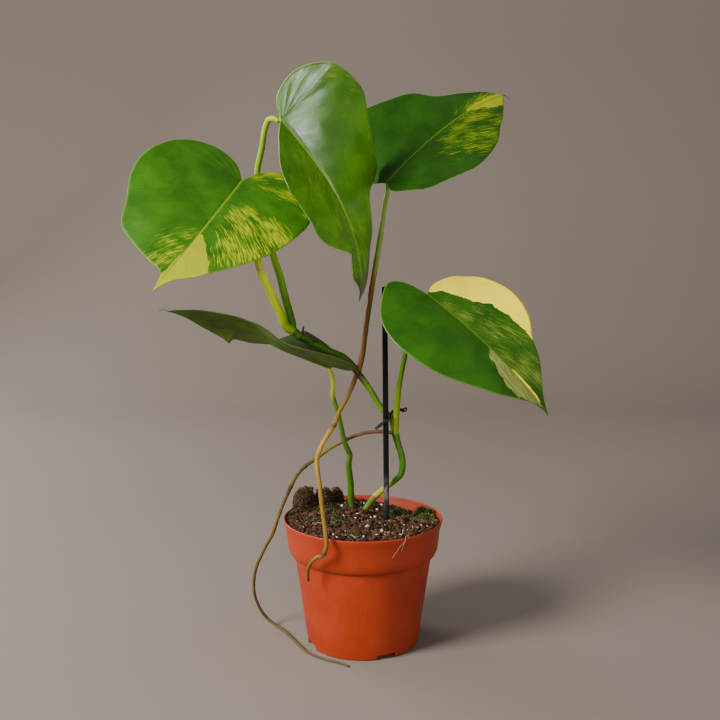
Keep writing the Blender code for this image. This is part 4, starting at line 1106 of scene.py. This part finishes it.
def rounded_box(size, centre, angle, radius):
    """An upright box with rounded long edges, turned about Z."""
    depth, width, height = size
    corners = []
    for start, sx, sz in ((0, 1, 1), (90, -1, 1), (180, -1, -1), (270, 1, -1)):
        for step in range(5):
            turn = math.radians(start + 22.5 * step)
            across = sx * (width / 2 - radius) + radius * math.cos(turn)
            corners.append((across, sz * (height / 2 - radius) + radius * math.sin(turn)))
    ends = [np.array([(offset, *corner) for corner in corners]) for offset in (-depth / 2, depth / 2)]
    cos, sin = math.cos(angle), math.sin(angle)
    turn = np.array([[cos, -sin, 0], [sin, cos, 0], [0, 0, 1]])
    return np.vstack(ends) @ turn.T + np.array(centre), closed_faces(2, len(corners))


def cut_notches(pot):
    """Cuts the rounded drain notches through the foot of the pot."""
    helpers = []
    for k in range(DRAIN_NOTCHES):
        angle = math.radians(DRAIN_NOTCH_ANGLE + 360.0 * k / DRAIN_NOTCHES)
        centre = (POT_FOOT_RADIUS * math.cos(angle), POT_FOOT_RADIUS * math.sin(angle), 0.0)
        size = (DRAIN_NOTCH[0], DRAIN_NOTCH[1], 2 * DRAIN_NOTCH[2])
        points, faces = rounded_box(size, centre, angle, DRAIN_NOTCH_ROUND)
        mesh = bpy.data.meshes.new(f"notch_{k}")
        mesh.from_pydata((points * MM).tolist(), [], faces)
        helper = bpy.data.objects.new(mesh.name, mesh)
        bpy.context.scene.collection.objects.link(helper)
        modifier = pot.modifiers.new(mesh.name, "BOOLEAN")
        modifier.object = helper
        modifier.operation = "DIFFERENCE"
        modifier.solver = "EXACT"
        helpers.append(helper)
    graph = bpy.context.evaluated_depsgraph_get()
    cut = bpy.data.meshes.new_from_object(pot.evaluated_get(graph))
    pot.modifiers.clear()
    pot.data = cut
    cut.shade_smooth()
    cut.set_sharp_from_angle(angle=math.radians(50))
    for helper in helpers:
        bpy.data.objects.remove(helper)


def build_pot(material):
    """The pot with its rim band, a rolled lip and rounded drain notches round its foot."""
    outside = np.array(POT_OUTSIDE)
    inside = offset_profile(outside, POT_WALL)
    lip_radius = POT_WALL / 2
    turns = np.radians(np.linspace(170, 12, 9))
    lip_height = POT_HEIGHT - lip_radius
    lip = [(LIP_REACH + lip_radius * math.cos(a), lip_height + lip_radius * math.sin(a)) for a in turns]
    rising = [(wall_radius(inside, z), z) for z in np.linspace(POT_FLOOR + FLOOR_ROUND, 94.6, 46)]
    wall = [(wall_radius(outside, z), z) for z in np.linspace(65.0, 4.0, 34)]
    corner = wall_radius(inside, POT_FLOOR) - FLOOR_ROUND
    profile = [(AXIS_GAP, POT_FLOOR), (20.0, POT_FLOOR), (corner, POT_FLOOR), *rising, *lip]
    profile += [*POT_BAND, *wall, *POT_FOOT, (36.0, 0.0), (20.0, 0.0), (AXIS_GAP, 0.0)]
    points, faces = lathe(profile, POT_TURNS)
    pot = add_mesh("pot_shell", points, faces[:, ::-1], material, "pot", ["pot"])
    shape = bmesh.new()
    shape.from_mesh(pot.data)
    bmesh.ops.holes_fill(shape, edges=shape.edges, sides=0)
    bmesh.ops.recalc_face_normals(shape, faces=shape.faces)
    shape.to_mesh(pot.data)
    shape.free()
    cut_notches(pot)


def pot_look():
    """Terracotta plastic, faintly clouded, with grime at its foot and lip, scuffs and dirt."""
    look = Look("pot_plastic", Subsurface_Weight=0.05, Subsurface_Scale=0.001, IOR=1.36)
    place = look.place()
    upright = look.noise(place, (0.5, 0.5, 0.035), 4, 0.6)
    colour = look.between(look.noise(place, 0.03, 3, 0.5), 0.35, 0.65, (192, 60, 22), (206, 68, 27))
    colour = look.cover(colour, look.remap(upright, 0.45, 0.75, 0.0, 0.05), (222, 112, 74))
    height = look.part(place, 2)
    low = look.remap(height, 0.0, 14.0, 0.75, 0.0)
    lip = look.remap(height, 90.0, 97.0, 0.0, 0.45)
    grime = look.remap(look.noise(place, 0.11, 5, 0.62), 0.45, 0.68)
    grime = look.math("MULTIPLY", look.math("ADD", low, lip), grime)
    colour = look.cover(colour, grime, (132, 64, 38), 0.45)
    scuffs = look.remap(look.noise(look.stretch(place, (1.2, 1.2, 0.22)), 0.5, 5, 0.7), 0.66, 0.72)
    colour = look.cover(colour, scuffs, (226, 160, 126), 0.12)
    dirt = look.remap(look.noise(place, 0.45, 4, 0.6), 0.70, 0.74)
    colour = look.cover(colour, dirt, (96, 52, 34), 0.4)
    normal = look.bump(look.noise(place, 1.6, 3, 0.5), 0.00012, 0.35)
    normal = look.bump(upright, 0.0003, 0.25, normal)
    return look.finish(colour, look.remap(upright, 0.3, 0.7, 0.40, 0.52), normal)


# Soil and what lies on it

SOIL_LEVEL = 94.4
SOIL_SWELLS = [
    (32.0, 36.0, -8.0, 19.0), (-36.0, 20.0, 3.5, 15.0), (-9.0, 26.0, 2.4, 9.0), (0.0, -40.0, 0.8, 22.0),
]
SOIL_CRUMB = 1.3
SOIL_CHAMFER = 8.0
SOIL_FOOT_RADIUS = 34.0
SOIL_LUMPS = [(-46.0, 22.0, 9.0, 15.0), (-31.0, 29.0, 7.5, 12.5), (-20.5, 37.0, 5.5, 11.0)]
SOIL_EDGE = 57.0
SOIL_TURNS = 288
SOIL_ROWS = 110
SOIL_SIDE = (76.5, 72.8, 68.9, 67.0, 36.0, SOIL_CHAMFER)  # heights of the rings below the top
FINE_CRUMBS = ((3.2, 0.9), (1.7, 0.5))  # size and rise
LUMP_RIM = 58.5
LUMP_FADE = 5.0  # how far inside the rim the lumps reach their full height
LUMP_KNOBS = ((9.0, 2, 3.0, 0.16), (2.4, 4, 8.0, 0.11))  # size, octaves, seed and depth
# What lies on the soil, as x and y, with the size of a grain, or the spread and the rise of a cushion
PERLITE = [
    (3.2, -26.4, 3.0), (13.7, -34.4, 2.6), (0.4, -48.2, 2.4), (9.9, -45.2, 2.2), (11.1, 32.3, 2.3),
    (6.9, 31.9, 1.8), (9.1, 4.3, 1.9), (-21.4, -42.2, 1.8), (-5.4, -6.0, 1.7), (15.1, 47.7, 1.6),
    (26.6, -43.2, 2.2), (6.0, 4.0, 1.5),
]
TAN_GRAINS = [
    (-49.0, -10.8, 2.6), (-35.6, -26.6, 2.3), (-32.3, -22.4, 2.0), (-11.6, -43.6, 1.9), (21.9, -40.6, 2.6),
    (51.7, -14.2, 2.0), (20.0, -6.6, 2.4),
]
BARK_CRUMBS = [
    (-7.4, 14.1), (-1.0, 10.9), (13.8, -13.7), (19.8, -21.8), (3.9, -17.9), (29.1, -3.9), (-41.3, -2.9),
    (-45.2, -24.6), (-28.4, -13.5), (-13.3, -24.6),
]
MOSS = [
    (-47.2, 13.2, 5.5, 0.0), (-52.0, 7.1, 4.5, 0.0), (-42.1, 14.1, 5.0, 0.0), (-25.7, 24.2, 5.0, 0.0),
    (-19.4, 32.9, 4.5, 0.0), (-22.7, 5.4, 5.5, 0.0), (-17.8, -13.6, 4.5, 0.0), (-25.3, 9.3, 5.5, 0.0),
    (-7.1, -41.8, 4.0, 0.0), (-4.1, -31.3, 3.5, 0.0), (-31.8, 12.0, 4.5, 0.0), (33.8, 16.0, 4.5, 0.0),
    (40.7, 0.3, 5.0, 0.0), (47.4, 6.6, 5.0, 2.0), (55.0, -10.9, 3.5, 0.0), (31.2, 47.8, 5.0, 0.0),
    (-40.5, -6.5, 4.0, 0.0), (21.6, 39.0, 4.5, 0.0), (26.4, 26.4, 3.5, 6.0), (45.9, 24.2, 5.5, 7.0),
    (51.9, 17.4, 4.5, 5.0), (-54.0, 19.0, 3.0, 0.0),
]
GRAIN_LIFT = 1.0
SMALL_LIFT = 0.9
LOOSE_CRUMBS = 8200
CRUMB_LIMIT = 2400  # the most that the large crumbs' piece takes
FINE_SIZE = 1.7  # below this a crumb is a fine
LEAFLETS = 105.0  # in a cushion, for each millimetre of its spread
LEAFLETS_HIGH = 30.0  # more of them for each millimetre of its rise
LEAFLET_WIDTHS = ((0, 0.5), (0.4, 1.0), (0.75, 0.7), (1.0, 0.08))  # place along it, share of its width
ROOTLETS = 46
# A forked thread that hangs over the rim: its start, and how it runs down the pot
RIM_START = [(32.7, -44.5, 97.0, 0.28), (31.5, -47.5, 97.0, 0.28), (30.2, -50.6, 97.0, 0.28)]
RIM_TOP = 95.6
RIM_DROP = 13.0
RIM_RUN = ((29.6, -8.0), (-51.5, -5.0))  # x and y of its top, each with its change on the way down


def ground_height(x, y):
    """Height of the soil without its lumps."""
    height = SOIL_LEVEL
    for at_x, at_y, rise, spread in SOIL_SWELLS:
        height += rise * math.exp(-((x - at_x) ** 2 + (y - at_y) ** 2) / (2 * spread**2))
    return height + SOIL_CRUMB * noise.noise(Vector((x, y, 3.0)) / 6.0)


def soil_height(x, y):
    """Height of the soil's crumbed top."""
    height = ground_height(x, y)
    edge = np.clip((LUMP_RIM - math.hypot(x, y)) / LUMP_FADE, 0.0, 1.0)
    for at_x, at_y, radius, rise in SOIL_LUMPS:
        share = math.hypot(x - at_x, y - at_y) / radius
        if share < 1.0:
            height += edge * rise * (1.0 - share**3) ** 0.5
    return height


def rough_ground(x, y):
    """The soil between its lumps, with its finer crumbs."""
    crumbs = sum(rise * noise.noise(Vector((x, y, 9.0)) / size) for size, rise in FINE_CRUMBS)
    return ground_height(x, y) + crumbs


def build_soil(material):
    """The body of the soil: crumbed on top, and a plain side and foot inside the pot."""
    side = offset_profile(POT_OUTSIDE, POT_WALL + 0.1)
    angles = np.linspace(0, 2 * math.pi, SOIL_TURNS, endpoint=False)
    cos, sin = np.cos(angles), np.sin(angles)
    edge = wall_radius(side, np.array([rough_ground(*at) for at in zip(SOIL_EDGE * cos, SOIL_EDGE * sin)]))
    rows = []
    for share in np.linspace(0.004, 1.0, SOIL_ROWS):
        x, y = edge * share * cos, edge * share * sin
        rows.append(np.stack([x, y, [rough_ground(*at) for at in zip(x, y)]], axis=1))
    rings = [(wall_radius(side, height), height) for height in SOIL_SIDE]
    for radius, height in [*rings, (SOIL_FOOT_RADIUS, POT_FLOOR + GAP)]:
        rows.append(np.stack([radius * cos, radius * sin, np.full(SOIL_TURNS, height)], axis=1))
    faces = [face[::-1] for face in closed_faces(len(rows), SOIL_TURNS)]
    return add_mesh("soil_body", np.concatenate(rows), faces, material, "potting_soil", ["potting_soil"])


def ball(level):
    shape = bmesh.new()
    bmesh.ops.create_icosphere(shape, subdivisions=level, radius=1.0)
    points = np.array([vert.co[:] for vert in shape.verts])
    faces = np.array([[vert.index for vert in face.verts] for face in shape.faces])
    shape.free()
    return points, faces


def turned(points):
    """The points after a random turn."""
    axes, _ = np.linalg.qr(random.normal(size=(3, 3)))
    return points @ (axes * np.sign(np.linalg.det(axes))).T


def on_soil(count, inner=0.0, outer=57.0):
    radius = np.sqrt(random.uniform(inner**2, outer**2, count))
    angle = random.uniform(0, 2 * math.pi, count)
    return np.stack([radius * np.cos(angle), radius * np.sin(angle)], axis=1)


def add_joined(name, parts, material):
    """One piece on the soil from parts, each with its points, its faces and its shade."""
    faces, count = [], 0
    for points, part_faces, _ in parts:
        faces += [[corner + count for corner in face] for face in part_faces]
        count += len(points)
    shade = np.concatenate([np.full(len(points), shade) for points, _, shade in parts])
    points = np.vstack([part[0] for part in parts])
    return add_mesh(name, points, faces, material, "potting_soil", shade=shade)


def scatter(name, spots, level, rough, flat, material, sink=0.35):
    """Irregular grains as one piece. A spot is x, y, z and size, with the grain's shade."""
    base, faces = ball(level)
    parts = []
    for k, (x, y, z, size, shade) in enumerate(spots):
        seed = Vector((k * 1.7, k * 0.37, 5.0))
        bumps = [noise.noise(p * 1.5 + seed) + 0.4 * noise.noise(p * 3.4 + seed) for p in map(Vector, base)]
        grain = turned(base * (1 + rough * np.array(bumps))[:, None]) * (size / 2)
        grain *= random.uniform(0.6, 1.25, 3)
        grain[:, 2] *= flat
        parts.append((grain + np.array([x, y, z + size * (0.5 - sink) * flat]), faces, shade))
    return add_joined(name, parts, material)


def build_crumbs(material):
    """The loose crumbs, with the placed ones of bark first."""
    spots = []
    for x, y in BARK_CRUMBS:
        spots.append((x, y, soil_height(x, y), random.uniform(4.5, 7.0), random.uniform(0.5, 0.9)))
    fines = []
    for x, y in on_soil(LOOSE_CRUMBS):
        size = float(np.clip(random.lognormal(0.25, 0.55), 0.6, 5.0))
        if math.hypot(x, y) < SOIL_EDGE - size / 2:
            kind = fines if size < FINE_SIZE else spots
            kind.append((x, y, soil_height(x, y) + 0.2, size, random.uniform()))
    scatter("soil_fines", fines, 1, 0.8, 0.8, material)
    scatter("soil_crumbs", spots[:CRUMB_LIMIT], 2, 0.95, 0.8, material)


def build_lumps(material):
    """The heaped lumps as rugged clods, kept inside the pot's wall."""
    base, faces = ball(6)
    inside = offset_profile(POT_OUTSIDE, POT_WALL)
    parts = []
    for k, (x, y, radius, rise) in enumerate(SOIL_LUMPS):
        bumps = np.zeros(len(base))
        for size, octaves, seed, depth in LUMP_KNOBS:
            bumps += depth * smooth_noise(base * 10, size, octaves, seed + k)
        middle = np.array([x, y, ground_height(x, y) + 0.35 * rise])
        points = base * (1 + bumps)[:, None] * np.array([radius, radius, 0.65 * rise]) + middle
        limit = wall_radius(inside, np.minimum(points[:, 2], 94.0)) - 0.2
        reach = np.maximum(np.hypot(points[:, 0], points[:, 1]), 1e-6)
        points[:, :2] *= np.minimum(1.0, limit / reach)[:, None]
        parts.append((points, faces, np.clip(0.35 + 0.3 * smooth_noise(points, 5.0, 2, 4.0), 0, 1)))
    return add_joined("soil_lumps", parts, material)


def build_moss(material):
    """Cushions of moss as short curved leaflets that fan out from each cushion."""
    faces = grid_faces(len(LEAFLET_WIDTHS), 2)
    parts = []
    for at_x, at_y, spread, rise in MOSS:
        for _ in range(int((LEAFLETS + LEAFLETS_HIGH * rise) * spread)):
            off = random.normal(size=2) * spread * 0.55
            x, y = at_x + off[0], at_y + off[1]
            if math.hypot(x, y) > SOIL_EDGE - 1.0:
                continue
            fall = math.exp(-(off @ off) / (spread * 0.9) ** 2)
            z = soil_height(x, y) + 0.5 + random.uniform(0.3, 1.0) * rise * fall
            length, wide = random.uniform(1.2, 2.9), random.uniform(0.25, 0.5)
            turn, lean = random.uniform(0, 2 * math.pi), random.uniform(0.3, 1.3)
            cos, sin = math.cos(turn), math.sin(turn)
            forward = np.array([cos * math.sin(lean), sin * math.sin(lean), math.cos(lean)])
            across = np.array([-sin, cos, 0.0]) * wide
            droop = np.array([cos, sin, -0.4]) * random.uniform(0.1, 0.5)
            points = []
            for share, size in LEAFLET_WIDTHS:
                middle = np.array([x, y, z]) + length * (forward * share + droop * share**2)
                points += [middle - across * size, middle + across * size]
            parts.append((points, faces, random.uniform()))
    return add_joined("moss", parts, material)


def build_fibres(material):
    """Thin rootlets that lie over the soil, and a forked one over the rim."""
    parts = []
    for k, (x, y) in enumerate(on_soil(ROOTLETS, 0, 50)):
        turn, length = random.uniform(0, 2 * math.pi), random.uniform(6, 18)
        route = []
        for _ in range(6):
            turn += random.normal() * 0.45
            x, y = x + math.cos(turn) * length / 5, y + math.sin(turn) * length / 5
            if math.hypot(x, y) < SOIL_EDGE - 2.0:
                lift = 0.9 + random.uniform(0, 0.8)
                route.append((x, y, soil_height(x, y) + lift, 0.16 + 0.08 * (k % 3)))
        if len(route) > 2:
            parts.append((*tube(smooth_route(route, 0.8)[0], 6)[:2], random.uniform()))
    route = list(RIM_START)
    for share in np.linspace(0, 1, 7):
        z = RIM_TOP - RIM_DROP * share
        x, y = (start + change * share for start, change in RIM_RUN)
        angle, radius = math.atan2(y, x), wall_radius(POT_OUTSIDE, z) + 0.32
        route.append((radius * math.cos(angle), radius * math.sin(angle), z, 0.3 - 0.1 * share))
    fork = [(x + 0.9 * k, y, z + 0.2 * k, 0.2) for k, (x, y, z, _) in enumerate(route[3:8])]
    for thread in (route, fork):
        thread = [(x + 0.25 * math.sin(2.1 * k), y, z, radius) for k, (x, y, z, radius) in enumerate(thread)]
        parts.append((*tube(smooth_route(thread, 0.7)[0], 8)[:2], 0.6))
    return add_joined("rootlets", parts, material)


def ground_look(name, dark, light, spot, rough=0.9, bump=0.0006):
    """Skin of soil or grains: clouded, with painted shade between its crumbs, and flecked."""
    look = Look(name, IOR=1.35)
    place = look.place()
    crumbs = look.noise(place, 1.1, 5, 0.7)
    clouds = look.scaled(look.noise(place, 0.16, 4, 0.6), 0.5)
    mixed = look.math("ADD", clouds, look.scaled(look.attribute("shade"), 0.5))
    colour = look.between(mixed, 0.2, 0.75, dark, light)
    # Painted shade: the dark colour laid in between the crumbs.
    colour = look.cover(colour, look.remap(crumbs, 0.35, 0.7, 0.0, 0.55), dark)
    colour = look.cover(colour, look.remap(look.noise(place, 0.8, 3, 0.5), 0.66, 0.70), spot, 0.5)
    roughness = look.remap(crumbs, 0.3, 0.7, rough - 0.08, min(1.0, rough + 0.05))
    return look.finish(colour, roughness, look.bump(crumbs, bump, 0.9))


def build_ground():
    """The soil with all that lies on it."""
    soil = ground_look("soil", (44, 27, 16), (124, 78, 48), (160, 116, 76))
    build_soil(soil)
    build_crumbs(soil)
    build_lumps(soil)
    grains = [(x, y, soil_height(x, y) + GRAIN_LIFT, size, random.uniform()) for x, y, size in PERLITE]
    for x, y in on_soil(60, 0, 54):
        grains.append((x, y, soil_height(x, y) + SMALL_LIFT, random.uniform(0.7, 1.7), 0.5))
    white = ground_look("perlite", (236, 230, 218), (300, 296, 288), (240, 228, 208), 0.85, 0.0002)
    scatter("perlite_grains", grains, 3, 0.35, 0.9, white, 0.2)
    grains = [(x, y, soil_height(x, y) + GRAIN_LIFT, size, random.uniform()) for x, y, size in TAN_GRAINS]
    for x, y in on_soil(50):
        grains.append((x, y, soil_height(x, y) + SMALL_LIFT, random.uniform(0.9, 2.4), random.uniform()))
    tan = ground_look("bark_chips", (122, 84, 50), (186, 146, 92), (206, 176, 120), 0.85, 0.0003)
    scatter("bark_chips", grains, 3, 0.4, 0.8, tan, 0.2)
    build_moss(ground_look("moss_green", (56, 74, 20), (136, 144, 66), (168, 170, 104), 0.8, 0.0002))
    build_fibres(ground_look("rootlet_skin", (150, 112, 80), (206, 176, 140), (190, 160, 120), 0.75, 0.0002))


# Stage, light and camera. Lamps and camera are placed in metres.

SWEEP_HALF_WIDTH = 3500.0
SWEEP_FRONT = (-2600.0, 0.0)
SWEEP_BEND = 900.0
SWEEP_RADIUS = 700.0
SWEEP_TOP = (1640.0, 2800.0)
SKY_COLOUR = (0.97, 0.98, 1.0, 1.0)
SKY_STRENGTH = 0.46
PLANT_MIDDLE = (0.0, 0.0, 0.22)
# Area lamps: place, size, power and colour
LAMPS = {
    "key": ((-1.45, -1.0, 1.15), 0.8, 97.0, (1.0, 0.98, 0.94)),
    "fill": ((0.25, -1.9, 0.55), 1.4, 10.5, (0.97, 0.98, 1.0)),
    "behind": ((-1.0, 0.75, 0.65), 0.8, 12.0, (1.0, 0.98, 0.95)),
}
SPOT_PLACE = (1.081, -0.653, 0.286)
SPOT_AIM = (-0.045, -0.005, 0.40)
SPOT = dict(energy=95.0, shadow_soft_size=0.30, spot_size=math.radians(20), spot_blend=0.7)
CAMERA_PLACE = (-0.0023, -0.7616, 0.3301)
CAMERA_TILT = 8.48
CAMERA_LENS = 51.97
CAMERA_SENSOR = 36.0


def build_stage():
    """A floor that bends up into a wall."""
    look = Look("floor", IOR=1.3)
    soft = look.noise(look.place(), 0.004, 3, 0.5)
    colour = look.blend(soft, tone(163, 149, 138), tone(170, 155, 144))
    material = look.finish(colour, look.remap(soft, 0.3, 0.7, 0.8, 0.9))
    profile = [SWEEP_FRONT]
    for turn in np.radians(np.linspace(0, 88, 24)):
        height = SWEEP_RADIUS - SWEEP_RADIUS * math.cos(turn)
        profile.append((SWEEP_BEND + SWEEP_RADIUS * math.sin(turn), height))
    profile.append(SWEEP_TOP)
    points = [(x, y, z) for y, z in profile for x in (-SWEEP_HALF_WIDTH, SWEEP_HALF_WIDTH)]
    add_mesh("studio_sweep", points, grid_faces(len(profile), 2), material)


def add_light(name, kind, place, aim, **settings):
    data = bpy.data.lights.new(name, kind)
    for key, value in settings.items():
        setattr(data, key, value)
    lamp = bpy.data.objects.new(name, data)
    lamp.location = place
    lamp.rotation_euler = (Vector(aim) - Vector(place)).to_track_quat("-Z", "Y").to_euler()
    bpy.context.scene.collection.objects.link(lamp)


def build_light():
    world = bpy.data.worlds.new("studio")
    world.use_nodes = True
    background = world.node_tree.nodes["Background"]
    background.inputs["Color"].default_value = SKY_COLOUR
    background.inputs["Strength"].default_value = SKY_STRENGTH
    bpy.context.scene.world = world
    for name, (place, size, power, colour) in LAMPS.items():
        add_light(name, "AREA", place, PLANT_MIDDLE, shape="DISK", size=size, energy=power, color=colour)
    add_light("side", "SPOT", SPOT_PLACE, SPOT_AIM, **SPOT)


def build_camera():
    data = bpy.data.cameras.new("camera")
    data.lens = CAMERA_LENS
    data.sensor_width = CAMERA_SENSOR
    camera = bpy.data.objects.new("camera", data)
    camera.location = CAMERA_PLACE
    camera.rotation_euler = (math.radians(90 - CAMERA_TILT), 0.0, 0.0)
    bpy.context.scene.collection.objects.link(camera)
    bpy.context.scene.camera = camera


build_stage()
build_light()
build_camera()
for leaf_name, leaf_form in LEAVES.items():
    skin = leaf_look(leaf_name + "_look", LEAF_SHADES[leaf_name], **LEAF_SKINS[leaf_name])
    build_leaf(leaf_name, leaf_form, skin, LEAF_SLOTS.get(leaf_name, "leaf_variegated"))
build_stems()
build_pot(pot_look())
build_ground()
